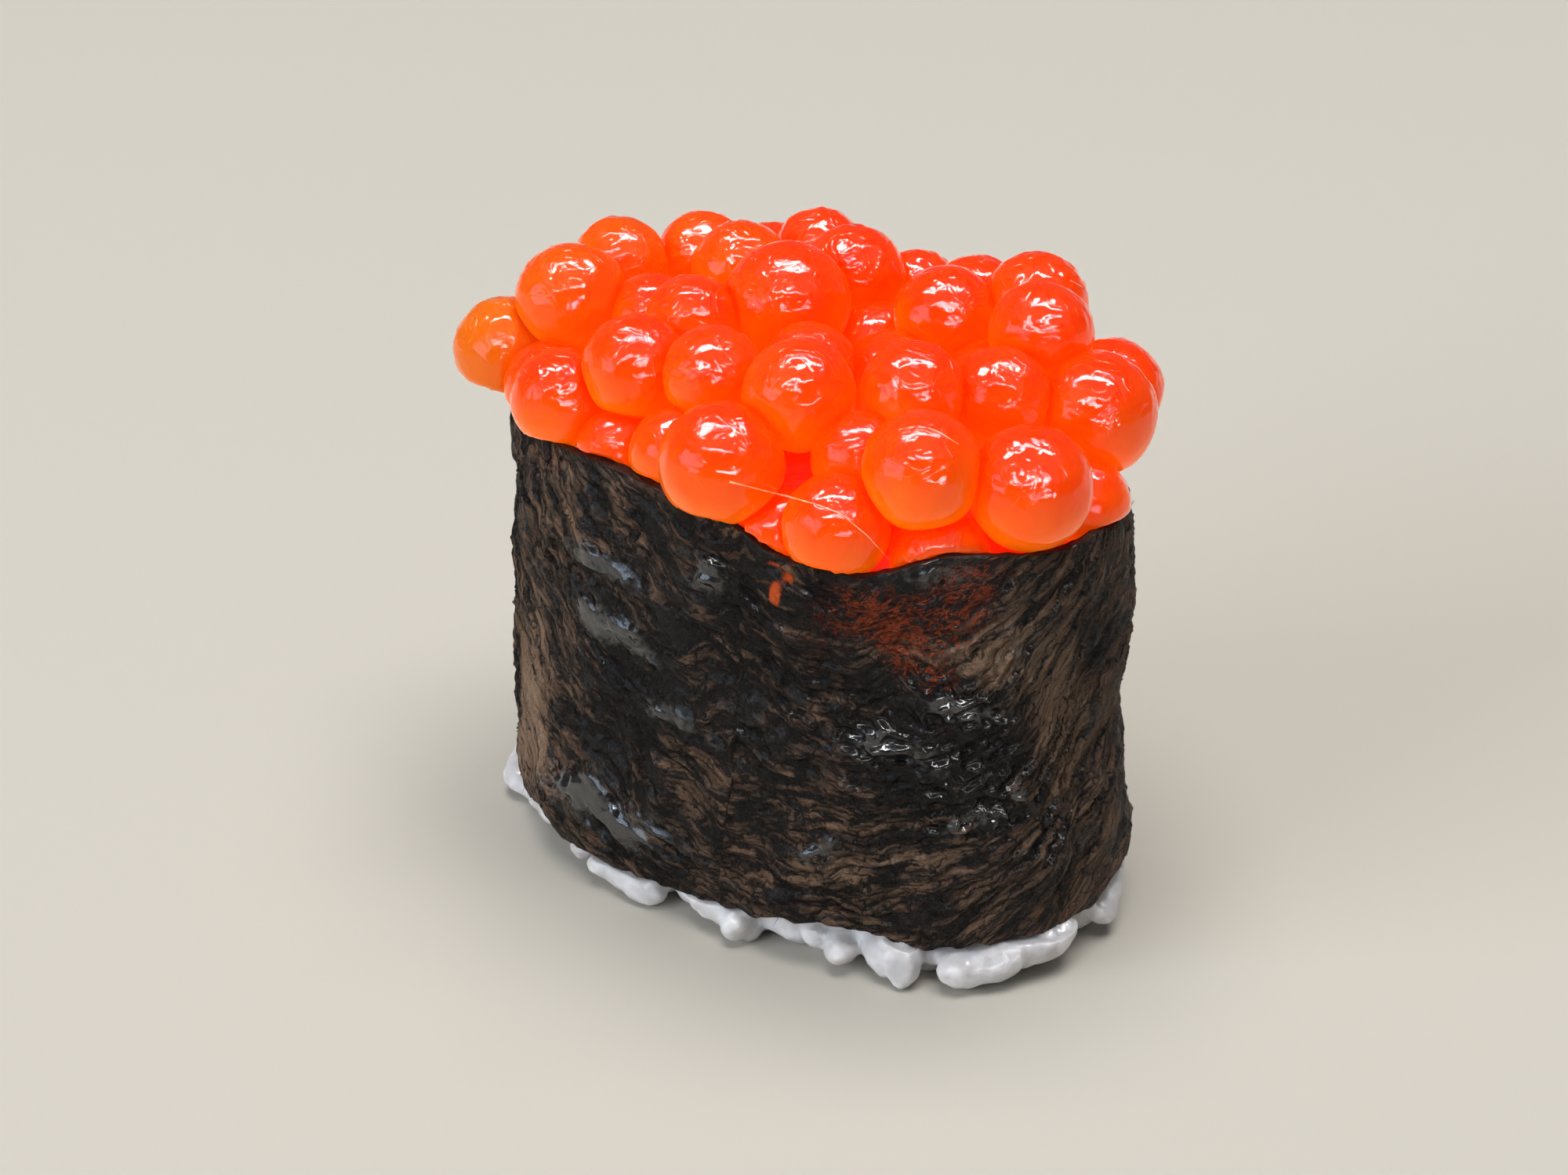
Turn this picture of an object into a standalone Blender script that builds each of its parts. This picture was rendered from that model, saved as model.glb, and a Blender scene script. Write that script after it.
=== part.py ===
"""Salmon roe gunkan sushi: a rice block wrapped in a nori strip, heaped with roe.

Three solids: the nori band, the rice block with the grains that show, and the roe heap.
The long axis of the oval is X, and it stands on the plane Z = 0.
Run with: blender --background --python part.py
"""

import math
import random

import bmesh
import bpy
from mathutils import Matrix, Vector, noise

# All the sizes here are millimetres, and MM turns them to metres.
MM = 0.001
SHARP_ANGLE = math.radians(60)

# The nori band: an oval in plan, a little wider at its foot, whose edge curls in again.
HALF_LENGTH = 24.2
HALF_WIDTH = 15.0
OVAL_POWER = 2.35
FOOT_SPREAD = 0.04
FOOT_CURL = 0.012
CURL_TOP = 5.0
CURL_DEPTH = 3.0
RIM_LEVEL = 33.0
BAND_HEIGHT = 30.0
NORI_THICK = 0.6
LAP_THICK = 0.4
SEAM_ANGLE = math.radians(-77)
SEAM_SLANT = math.radians(-6)
LAP_ANGLE = math.radians(40)
# The share of a turn over which the strip's outer end steps down.
LAP_STEP = 0.002
NORI_COLUMNS = 62
NORI_ROWS = 7

# Heights of the band's two edges, by angle round the oval in degrees.
RIM_HEIGHTS = (
    (-180, 33.0), (-125, 33.4), (-100, 34.4), (-84, 33.8), (-70, 32.0), (-58, 31.7),
    (-35, 33.7), (0, 32.7), (30, 32.2), (90, 33.2), (135, 33.6),
)
FOOT_HEIGHTS = (
    (-180, 3.2), (-130, 2.6), (-95, 2.3), (-80, 2.9), (-60, 4.0), (-42, 3.1),
    (-25, 3.5), (-10, 3.1), (18, 4.8), (45, 3.4), (90, 2.7), (135, 3.4),
)

# The slow wave of the wall: how far it stands out or in, and its length.
WALL_WAVE = 0.65
WALL_WAVE_LENGTH = 11.0

# The free space kept between the pieces, and what the cores keep on top of it.
GAP = 0.35
CORE_SLACK = 0.2
CORE_SIDES = 48

# Rice: a pressed block, and cooked short grains round its foot and under it.
RICE_TOP = 24.0
RICE_FOOT = 0.6
GRAIN_LENGTH = 6.2
GRAIN_WIDTH = 2.9
GRAIN_FLATNESS = 0.86
GRAIN_SIDES = 5
# A grain's cross sections, as the share of its length from its middle, and of its width.
GRAIN_SECTIONS = ((-0.38, 0.8), (0.0, 1.0), (0.4, 0.76))
UNDERSIDE_PITCH = 5.8
UNDERSIDE_LEVEL = 0.75
RICE_SEED = 11

# The grains that show under the nori in front. Each is its tip's angle round the oval in
# degrees, the tip's reach beyond the nori's foot, the tip's height, and two directions in
# degrees: how far the grain turns from straight outward, and how far it dips.
FRONT_GRAINS = (
    (-148, 0.2, 1.0, 60, 15), (-132, -0.6, 0.9, -20, 40), (-121, -0.6, 1.6, 60, 5),
    (-113, 0.0, 1.1, -35, 30), (-104, 1.0, 1.1, -25, 22), (-99, 0.6, 1.0, 25, 40),
    (-92, -0.2, 1.4, 80, 5), (-86, -1.6, 1.2, -10, 30), (-77, -1.2, 1.0, 85, 18),
    (-73, -3.2, 1.0, 10, 40), (-66, -1.8, 1.0, -25, 40), (-59, 0.5, 1.2, 15, 10),
    (-52, 0.4, 1.1, 5, 28), (-46, 1.0, 0.6, 10, 48), (-39, 0.5, 1.2, -70, 8),
    (-24, 0.0, 1.7, -75, 10), (-9, -0.2, 0.8, 5, 48), (6, 0.0, 1.0, -65, 35),
    (18, -0.2, 1.5, 20, 25), (28, 0.0, 1.4, -60, 20),
)
FRONT_GRAIN_SIZES = (1.0, 1.15)

# The rest of the way round, every third grain lies along the edge and the others point
# outward. The limits are in the same order as above, with the directions in radians.
HIDDEN_GRAINS = 20
HIDDEN_START = math.radians(38)
HIDDEN_END = math.radians(204)
LYING_GRAIN = ((-0.9, 0.3), (1.0, 1.6), (1.1, 1.5), (0.05, 0.25))
POINTING_GRAIN = ((-0.6, 0.7), (0.6, 1.1), (0.0, 0.5), (0.4, 0.9))
HIDDEN_GRAIN_SIZES = (0.95, 1.1)

# Roe: pearls on a mound of which only the top layers show.
PEARL_SMALL = 6.3
PEARL_LARGE = 7.6
UPPER_FACETS = (10, 7)
LOWER_FACETS = (8, 6)
HEAP_EDGE = 33.0
HEAP_RISE = 5.8
HEAP_TOP = 41.5
LAYER_DEPTH = 3.4

# How the heap is filled: the step of the grid of free places, how far out they go, and how
# near two pearls may come in the upper and the lower layer, as a share of touching.
FILL_STEP = 1.1
FILL_WIDEST = 0.95
UPPER_FILL = 0.86
LOWER_FILL = 0.76

# How it settles: the same share that pearls keep from each other and from the nori's edge,
# how much the front ones give way, and how strongly each goes back to its seat.
PEARL_SQUEEZE = 0.9
RIM_SQUEEZE = 0.98
FRONT_RIM_SQUEEZE = 0.78
FRONT_GIVES = 0.15
SEAT_PULL = 0.06
SETTLING_ROUNDS = 60
RIM_POINTS = 120
ROE_SEED = 5

# The pearls that show in front, each as its place (along, across, up) and its diameter.
FRONT_PEARLS = (
    (-22.4, -7.2, 36.0, 7.4), (-19.0, -4.6, 39.2, 7.8), (-20.2, 2.0, 40.0, 6.8),
    (-16.6, 7.0, 40.0, 6.4), (-11.7, 5.4, 41.0, 6.8), (-4.2, 2.4, 41.6, 8.7),
    (-9.0, 11.5, 40.8, 6.4), (-3.4, 9.2, 40.9, 7.0), (-2.0, 13.0, 39.4, 6.0),
    (5.6, 7.6, 41.0, 7.0), (10.2, 12.0, 41.6, 7.2), (13.8, 8.6, 41.6, 7.0),
    (18.6, 7.2, 37.6, 8.3), (16.5, 13.0, 37.0, 6.8), (14.8, 2.4, 39.4, 7.0),
    (11.0, -2.8, 40.4, 6.9), (5.6, -7.8, 40.3, 7.4), (-2.1, -8.4, 40.0, 6.7),
    (-8.5, -10.2, 38.4, 7.2), (-8.4, -3.5, 40.4, 6.6), (-13.6, -2.4, 39.2, 6.4),
    (-12.6, -12.0, 36.6, 6.8), (-7.5, -13.0, 34.4, 6.4), (3.6, -14.0, 35.8, 8.2),
    (16.4, -8.2, 37.8, 7.8), (21.8, -3.2, 36.9, 8.2), (11.6, -11.4, 34.4, 7.0),
    (10.5, -8.0, 37.0, 6.4), (18.2, -8.6, 32.8, 6.6), (21.3, 4.2, 33.6, 6.8),
    (1.6, -1.0, 38.6, 6.6), (4.0, 2.5, 38.0, 7.4), (6.8, -12.4, 32.6, 6.2),
    (-17.8, -8.6, 34.8, 6.6),
)


def remove_everything():
    """Empties the scene before the sushi is built."""
    for old in list(bpy.data.objects):
        bpy.data.objects.remove(old)


def eased(table, degrees):
    """A smooth value between the (degrees, value) pairs of a closed table."""
    turned = (degrees + 180) % 360 - 180
    around = [*table, (table[0][0] + 360, table[0][1])]
    for (start, low), (end, high) in zip(around, around[1:]):
        if start <= turned <= end:
            share = (1 - math.cos(math.pi * (turned - start) / (end - start))) / 2
            return low + (high - low) * share
    return table[0][1]


def rim_height(angle):
    return eased(RIM_HEIGHTS, math.degrees(angle))


def foot_height(angle):
    return eased(FOOT_HEIGHTS, math.degrees(angle))


def spread(height):
    """How much wider the oval is at this height than at the rim."""
    below = max(0.0, (RIM_LEVEL - height) / BAND_HEIGHT)
    curl = max(0.0, (CURL_TOP - height) / CURL_DEPTH)
    return 1 + FOOT_SPREAD * below - FOOT_CURL * curl


def oval(angle, height):
    """The smooth oval's point and its outward direction, at one angle and height."""
    wide = spread(height)
    cosine, sine = math.cos(angle), math.sin(angle)
    along = abs(cosine) ** (2 / OVAL_POWER)
    across = abs(sine) ** (2 / OVAL_POWER)
    place = Vector((
        math.copysign(HALF_LENGTH * wide * along, cosine),
        math.copysign(HALF_WIDTH * wide * across, sine),
        height,
    ))
    outward = Vector((
        math.copysign(along ** (OVAL_POWER - 1) / HALF_LENGTH, cosine),
        math.copysign(across ** (OVAL_POWER - 1) / HALF_WIDTH, sine),
        0,
    )).normalized()
    return place, outward


def wall_wave(place):
    """How far the wall stands out or in at a place on the smooth oval."""
    return WALL_WAVE * noise.noise(place / WALL_WAVE_LENGTH)


def wall(angle, height, outset):
    """A point of the band's wall, outset from its inner face."""
    place, outward = oval(angle, height)
    return place + outward * (outset - NORI_THICK + wall_wave(place))


def inside_share(place):
    """0 on the oval's middle line, 1 on its wall, for a place at any height."""
    wide = spread(place.z)
    along = abs(place.x) / (HALF_LENGTH * wide)
    across = abs(place.y) / (HALF_WIDTH * wide)
    return (along**OVAL_POWER + across**OVAL_POWER) ** (1 / OVAL_POWER)


def object_from(name, bm):
    """A new object of a bmesh that is in millimetres."""
    bmesh.ops.transform(bm, matrix=Matrix.Scale(MM, 4), verts=bm.verts)
    bmesh.ops.recalc_face_normals(bm, faces=bm.faces)
    mesh = bpy.data.meshes.new(name)
    bm.to_mesh(mesh)
    bm.free()
    made = bpy.data.objects.new(name, mesh)
    bpy.context.scene.collection.objects.link(made)
    return made


def lap_thickness(turn):
    """The second layer's thickness at a share of a turn back from the strip's outer end."""
    lap = LAP_ANGLE / math.tau
    fade = 0.25 * lap
    return LAP_THICK * max(0.0, min(1.0, (lap - turn) / fade))


def band(name, grown=0.0):
    """The nori strip as one closed ring. A grown one is the clear space round it."""
    bm = bmesh.new()
    turns = [column / (NORI_COLUMNS - 1) for column in range(NORI_COLUMNS - 1)]
    turns.append(1 - LAP_STEP)
    columns = []
    for turn in turns:
        thick = NORI_THICK + lap_thickness(turn)
        inner, outer = [], []
        for row in range(NORI_ROWS + 1):
            share = row / NORI_ROWS
            angle = SEAM_ANGLE - math.tau * turn + SEAM_SLANT * (1 - share)
            low = foot_height(angle) - grown
            high = rim_height(angle) + grown
            height = low + (high - low) * share
            inner.append(bm.verts.new(wall(angle, height, -grown)))
            outer.append(bm.verts.new(wall(angle, height, thick + grown)))
        columns.append((inner, outer))
    for (inner, outer), (next_inner, next_outer) in zip(columns, columns[1:] + columns[:1]):
        for row in range(NORI_ROWS):
            bm.faces.new((outer[row], outer[row + 1], next_outer[row + 1], next_outer[row]))
            bm.faces.new((inner[row], next_inner[row], next_inner[row + 1], inner[row + 1]))
        bm.faces.new((inner[0], outer[0], next_outer[0], next_inner[0]))
        bm.faces.new((inner[-1], next_inner[-1], next_outer[-1], outer[-1]))
    bmesh.ops.triangulate(bm, faces=bm.faces)
    return object_from(name, bm)


def core(name, rings):
    """A closed body inside the band, lofted through rings of (share of the way out, height)."""
    bm = bmesh.new()
    loops = []
    for share, height in rings:
        loop = []
        for side in range(CORE_SIDES):
            place = wall(math.tau * side / CORE_SIDES, height, -GAP - CORE_SLACK)
            loop.append(bm.verts.new((place.x * share, place.y * share, height)))
        loops.append(loop)
    for loop, above in zip(loops, loops[1:]):
        for side in range(CORE_SIDES):
            after = (side + 1) % CORE_SIDES
            bm.faces.new((loop[side], loop[after], above[after], above[side]))
    bm.faces.new(loops[0][::-1])
    bm.faces.new(loops[-1])
    return object_from(name, bm)


def grain(middle, heading, dip, roll, size=1.0):
    """One cooked grain with few sides: a plump rod with blunt tips, along its own X.

    It is turned round its length, then dipped below level, then headed round Z.
    """
    bm = bmesh.new()
    loops = []
    for along, thick in GRAIN_SECTIONS:
        loop = []
        for side in range(GRAIN_SIDES):
            turn = math.tau * side / GRAIN_SIDES
            loop.append(bm.verts.new((
                along * GRAIN_LENGTH,
                thick * GRAIN_WIDTH / 2 * math.cos(turn),
                thick * GRAIN_WIDTH / 2 * GRAIN_FLATNESS * math.sin(turn),
            )))
        loops.append(loop)
    tips = [bm.verts.new((-GRAIN_LENGTH / 2, 0, 0)), bm.verts.new((GRAIN_LENGTH / 2, 0, 0))]
    for side in range(GRAIN_SIDES):
        after = (side + 1) % GRAIN_SIDES
        bm.faces.new((tips[0], loops[0][after], loops[0][side]))
        bm.faces.new((tips[1], loops[-1][side], loops[-1][after]))
        for loop, following in zip(loops, loops[1:]):
            bm.faces.new((loop[side], loop[after], following[after], following[side]))
    placed = (
        Matrix.Translation(middle)
        @ Matrix.Rotation(heading, 4, "Z")
        @ Matrix.Rotation(dip, 4, "Y")
        @ Matrix.Rotation(roll, 4, "X")
        @ Matrix.Scale(size, 4)
    )
    bmesh.ops.transform(bm, matrix=placed, verts=bm.verts)
    return object_from("grain", bm)


def grain_from_tip(angle, reach, low, turn, dip, roll, size):
    """A grain whose outer tip is given, by the angle round the oval and its reach."""
    foot, outward = oval(angle, RIM_LEVEL - BAND_HEIGHT)
    tip = foot + outward * reach
    heading = math.atan2(outward.y, outward.x) + turn
    half = GRAIN_LENGTH * size / 2
    middle = Vector((
        tip.x - half * math.cos(dip) * math.cos(heading),
        tip.y - half * math.cos(dip) * math.sin(heading),
        low + half * math.sin(dip),
    ))
    return grain(middle, heading, dip, roll, size)


def foot_grains():
    """The grains that peep out below the nori: the ones in front, and a rule for the rest."""
    draw = random.Random(RICE_SEED)
    made = []
    for angle, reach, low, turn, dip in FRONT_GRAINS:
        roll = draw.uniform(0, math.tau)
        size = draw.uniform(*FRONT_GRAIN_SIZES)
        angle, turn, dip = math.radians(angle), math.radians(turn), math.radians(dip)
        made.append(grain_from_tip(angle, reach, low, turn, dip, roll, size))
    for number in range(HIDDEN_GRAINS):
        share = (number + draw.uniform(-0.2, 0.2)) / (HIDDEN_GRAINS - 1)
        angle = HIDDEN_START + (HIDDEN_END - HIDDEN_START) * share
        limits = LYING_GRAIN if number % 3 == 0 else POINTING_GRAIN
        reach, low, turn, dip = (draw.uniform(*pair) for pair in limits)
        turn *= draw.choice((-1, 1))
        roll = draw.uniform(0, math.tau)
        size = draw.uniform(*HIDDEN_GRAIN_SIZES)
        made.append(grain_from_tip(angle, reach, low, turn, dip, roll, size))
    return made


def underside_grains():
    """Grains pressed flat underneath, on a staggered grid, with one at the origin."""
    draw = random.Random(RICE_SEED + 1)
    made = [grain(Vector((0, 0, UNDERSIDE_LEVEL)), 0.3, 0.0, 0.0)]
    rows = int(HALF_WIDTH / UNDERSIDE_PITCH) + 1
    columns = int(HALF_LENGTH / UNDERSIDE_PITCH) + 1
    for row in range(-rows, rows + 1):
        for column in range(-columns, columns + 1):
            place = Vector((
                (column + 0.5 * (row % 2)) * UNDERSIDE_PITCH,
                row * UNDERSIDE_PITCH * 0.8,
                UNDERSIDE_LEVEL + draw.uniform(-0.1, 0.1),
            ))
            heading = draw.uniform(0, math.pi)
            roll = draw.uniform(0, math.tau)
            if inside_share(place) < 0.8 and place.xy.length > GRAIN_WIDTH:
                made.append(grain(place, heading, 0.0, roll))
    return made


def ground_cutter():
    """Everything below Z = 0, which presses the lowest grains flat."""
    bm = bmesh.new()
    deep = GRAIN_LENGTH
    bmesh.ops.create_cube(bm, size=1)
    bmesh.ops.scale(bm, vec=(4 * HALF_LENGTH, 4 * HALF_WIDTH, deep), verts=bm.verts)
    bmesh.ops.translate(bm, vec=(0, 0, -deep / 2), verts=bm.verts)
    return object_from("ground_cutter", bm)


def combine(target, others, operation):
    """One Boolean of the target with all the others, applied, with the others removed."""
    group = bpy.data.collections.new("helpers")
    bpy.context.scene.collection.children.link(group)
    for other in others:
        group.objects.link(other)
    modifier = target.modifiers.new("join", "BOOLEAN")
    modifier.operation = operation
    modifier.operand_type = "COLLECTION"
    modifier.collection = group
    modifier.solver = "EXACT"
    graph = bpy.context.evaluated_depsgraph_get()
    result = bpy.data.meshes.new_from_object(target.evaluated_get(graph))
    target.modifiers.clear()
    target.data = result
    for other in others:
        bpy.data.objects.remove(other)
    bpy.data.collections.remove(group)


def outer_shell_only(target):
    """Drops what fusing leaves inside or loose: every shell but the largest."""
    bm = bmesh.new()
    bm.from_mesh(target.data)
    bmesh.ops.remove_doubles(bm, verts=bm.verts, dist=0.002 * MM)
    waiting = set(bm.verts)
    shells = []
    while waiting:
        edge_of_shell = [waiting.pop()]
        shell = set(edge_of_shell)
        while edge_of_shell:
            vertex = edge_of_shell.pop()
            for edge in vertex.link_edges:
                other = edge.other_vert(vertex)
                if other in waiting:
                    waiting.discard(other)
                    shell.add(other)
                    edge_of_shell.append(other)
        shells.append(shell)
    largest = max(shells, key=len)
    spare = [vertex for shell in shells if shell is not largest for vertex in shell]
    bmesh.ops.delete(bm, geom=spare, context="VERTS")
    bmesh.ops.triangulate(bm, faces=bm.faces)
    bm.to_mesh(target.data)
    bm.free()


def core_height(share):
    """The roe core's top, by its share of the way from the middle line to the wall."""
    return HEAP_EDGE + HEAP_RISE * (1 - share**3)


def heap_height(share):
    """The height of the upper pearls' middles, by the same share."""
    lowest = HEAP_EDGE + PEARL_LARGE / 2
    return lowest + (HEAP_TOP - lowest) * (1 - share**4)


def fill_layer(pearls, sunk, squeeze, draw):
    """Adds pearls in the free places of one layer, always where they fit most snugly."""
    places = []
    steps_along = int(HALF_LENGTH / FILL_STEP)
    steps_across = int(HALF_WIDTH / FILL_STEP)
    for row in range(-steps_across, steps_across + 1):
        for column in range(-steps_along, steps_along + 1):
            place = Vector((column * FILL_STEP, row * FILL_STEP, RICE_TOP))
            share = inside_share(place)
            if share < FILL_WIDEST:
                place.z = heap_height(share) - sunk
                places.append(place)
    while places:
        radius = draw.uniform(PEARL_SMALL, PEARL_LARGE) / 2
        gaps = [
            sorted((place - other).length - squeeze * (radius + size)
                   for other, size in pearls)[:3]
            for place in places
        ]
        places = [place for place, gap in zip(places, gaps) if gap[0] > 0]
        gaps = [gap for gap in gaps if gap[0] > 0]
        if places:
            snug = min(range(len(places)), key=lambda number: sum(gaps[number]))
            pearls.append((places[snug], radius))


def filled_heap():
    """The front pearls, the others of the upper layer by rule, and those in the gaps."""
    draw = random.Random(ROE_SEED)
    pearls = [(Vector(row[:3]), row[3] / 2) for row in FRONT_PEARLS]
    fill_layer(pearls, 0.0, UPPER_FILL, draw)
    fill_layer(pearls, LAYER_DEPTH, LOWER_FILL, draw)
    return pearls


def push_off_rim(place, reach, rim):
    """Moves a pearl's middle out of reach of the nori's edge, or of its wall if it is lower."""
    nearest = min(rim, key=lambda point: (point.xy - place.xy).length)
    away = place - nearest
    away.z = max(away.z, 0.0)
    if inside_share(place) > 1 and away.z == 0:
        away = -away
    if away.length < reach:
        place += away.normalized() * (reach - away.length)


def settled(pearls):
    """The pearls after they have pushed each other and the nori's rim apart."""
    places = [place.copy() for place, _ in pearls]
    sizes = [radius for _, radius in pearls]
    gives = [FRONT_GIVES if number < len(FRONT_PEARLS) else 1.0 for number in range(len(pearls))]
    reaches = [
        radius * (FRONT_RIM_SQUEEZE if number < len(FRONT_PEARLS) else RIM_SQUEEZE)
        for number, radius in enumerate(sizes)
    ]
    rim = []
    for number in range(RIM_POINTS):
        angle = math.tau * number / RIM_POINTS
        point, outward = oval(angle, rim_height(angle))
        rim.append(point - outward * NORI_THICK / 2)
    for _ in range(SETTLING_ROUNDS):
        for first in range(len(places)):
            for second in range(first + 1, len(places)):
                away = places[second] - places[first]
                short = PEARL_SQUEEZE * (sizes[first] + sizes[second]) - away.length
                if short > 0:
                    push = away.normalized() * short / (gives[first] + gives[second])
                    places[first] -= push * gives[first] * 0.5
                    places[second] += push * gives[second] * 0.5
            push_off_rim(places[first], reaches[first], rim)
        for place, (seat, _) in zip(places, pearls):
            place += (seat - place) * SEAT_PULL
    return list(zip(places, sizes))


def pearl(place, radius):
    """One egg as a round body of few facets, and fewer where it lies deep in the heap."""
    bm = bmesh.new()
    deep = place.z < heap_height(inside_share(place)) - LAYER_DEPTH / 2
    segments, rings = LOWER_FACETS if deep else UPPER_FACETS
    bmesh.ops.create_uvsphere(bm, u_segments=segments, v_segments=rings, radius=radius)
    bmesh.ops.translate(bm, vec=place, verts=bm.verts)
    return object_from("pearl", bm)


def finish(target, name, colour, roughness):
    """Names the solid and gives it its own material."""
    target.name = name
    target.data.name = name
    material = bpy.data.materials.new(name)
    material.use_nodes = True
    shader = material.node_tree.nodes["Principled BSDF"]
    shader.inputs["Base Color"].default_value = (*colour, 1.0)
    shader.inputs["Roughness"].default_value = roughness
    shader.inputs["Metallic"].default_value = 0.0
    target.data.materials.clear()
    target.data.materials.append(material)
    target.data.shade_smooth()
    target.data.set_sharp_from_angle(angle=SHARP_ANGLE)
    return target


def make_nori():
    return finish(band("nori"), "nori", (0.022, 0.018, 0.014), 0.35)


def make_rice():
    rice = core("rice", (
        (0.92, RICE_FOOT), (0.96, RICE_FOOT + 1.5), (0.99, RICE_FOOT + 4), (1.0, 9.0),
        (1.0, 14.0), (1.0, 19.0), (1.0, RICE_TOP),
    ))
    combine(rice, foot_grains() + underside_grains(), "UNION")
    combine(rice, [band("clear_space", GAP), ground_cutter()], "DIFFERENCE")
    outer_shell_only(rice)
    return finish(rice, "rice", (0.80, 0.78, 0.76), 0.35)


def make_roe():
    roe = core("roe", (
        (1.0, RICE_TOP + GAP), (1.0, (RICE_TOP + HEAP_EDGE) / 2), (1.0, HEAP_EDGE - 2),
        *((share, core_height(share)) for share in (0.9, 0.75, 0.55, 0.3)),
    ))
    pearls = settled(filled_heap())
    combine(roe, [pearl(place, radius) for place, radius in pearls], "UNION")
    combine(roe, [band("clear_space", GAP)], "DIFFERENCE")
    outer_shell_only(roe)
    return finish(roe, "roe", (0.95, 0.09, 0.005), 0.12)


def main():
    remove_everything()
    make_nori()
    make_rice()
    make_roe()


main()
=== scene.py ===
"""Salmon roe gunkan sushi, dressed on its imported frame: nori, rice, roe and fine membranes.

The long axis of the oval is X, and it stands on the plane Z = 0. Run it with Blender 4.5:
blender --background --python scene.py
"""

import math
import random

import bmesh
import bpy
import numpy as np
from bpy.props import FloatProperty, FloatVectorProperty, IntProperty, PointerProperty
from bpy.types import Operator, Panel, PropertyGroup
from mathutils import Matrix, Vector, noise
from mathutils.bvhtree import BVHTree


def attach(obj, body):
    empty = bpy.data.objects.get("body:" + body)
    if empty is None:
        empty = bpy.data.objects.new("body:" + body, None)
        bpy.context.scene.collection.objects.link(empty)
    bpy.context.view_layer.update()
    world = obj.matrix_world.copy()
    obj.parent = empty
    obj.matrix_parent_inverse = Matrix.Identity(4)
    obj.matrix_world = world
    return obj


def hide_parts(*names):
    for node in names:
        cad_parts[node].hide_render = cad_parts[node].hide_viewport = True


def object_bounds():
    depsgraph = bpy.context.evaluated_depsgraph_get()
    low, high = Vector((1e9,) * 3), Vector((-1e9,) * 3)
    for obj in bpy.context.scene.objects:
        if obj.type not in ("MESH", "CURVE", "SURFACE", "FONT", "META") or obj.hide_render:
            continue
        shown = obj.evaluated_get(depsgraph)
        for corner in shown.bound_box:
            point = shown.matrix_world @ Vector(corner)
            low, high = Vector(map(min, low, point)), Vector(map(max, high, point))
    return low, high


bl_info = {
    "name": "Salmon Roe Gunkan Sushi",
    "version": (1, 0, 0),
    "blender": (4, 5, 0),
    "location": "3D View > Sidebar > Gunkan",
    "description": "Builds a gunkan sushi from its nori, rice and salmon roe",
    "category": "Object",
}

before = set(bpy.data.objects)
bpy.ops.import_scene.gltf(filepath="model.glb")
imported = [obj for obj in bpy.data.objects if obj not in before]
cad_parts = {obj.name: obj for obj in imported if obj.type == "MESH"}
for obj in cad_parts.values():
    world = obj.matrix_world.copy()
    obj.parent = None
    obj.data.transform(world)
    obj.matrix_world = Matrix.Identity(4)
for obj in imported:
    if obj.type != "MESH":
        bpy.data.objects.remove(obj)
CAD_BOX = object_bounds()

# All the sizes here are millimetres, and MM turns them to metres.
MM = 0.001

# The oval of the nori band, as in the solids.
HALF_LENGTH = 24.2
HALF_WIDTH = 15.0
OVAL_POWER = 2.35
FOOT_SPREAD = 0.04
FOOT_CURL = 0.012
CURL_TOP = 5.0
CURL_DEPTH = 3.0
RIM_LEVEL = 33.0
BAND_HEIGHT = 30.0
NORI_THICK = 0.6
LAP_THICK = 0.4
SEAM_ANGLE = math.radians(-77)
SEAM_SLANT = math.radians(-6)
LAP_ANGLE = math.radians(40)
RIM_HEIGHTS = (
    (-180, 33.0), (-125, 33.4), (-100, 34.4), (-84, 33.8), (-70, 32.0), (-58, 31.7),
    (-35, 33.7), (0, 32.7), (30, 32.2), (90, 33.2), (135, 33.6),
)
FOOT_HEIGHTS = (
    (-180, 3.2), (-130, 2.6), (-95, 2.3), (-80, 2.9), (-60, 4.0), (-42, 3.1),
    (-25, 3.5), (-10, 3.1), (18, 4.8), (45, 3.4), (90, 2.7), (135, 3.4),
)
WALL_WAVE = 0.65
WALL_WAVE_LENGTH = 11.0
GAP = 0.35
CORE_SLACK = 0.2
CORE_SIDES = 96

# The nori's mesh: columns round it, rows up its outside, and rows up its hidden inside.
NORI_COLUMNS = 620
NORI_ROWS = 140
NORI_INNER_ROWS = 6
SEAM_STEP = 0.0004
# The share of a turn over which the strip's outer end is pressed down on the layer below.
SEAM_TAPER = 0.03
SEAM_PRESSED = 0.08
# How far in and out the nori's creases may reach.
RELIEF_LIMITS = (-0.42, 0.75)

# How steeply the nori's fibres climb, by angle round the oval in degrees.
FIBRE_SLOPES = (
    (-180, -0.7), (-130, -0.9), (-100, -0.6), (-80, -0.25), (-60, -0.1), (-45, 0.1),
    (-25, 0.7), (0, 1.3), (40, 0.5), (90, 0.2), (140, -0.4),
)

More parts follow.
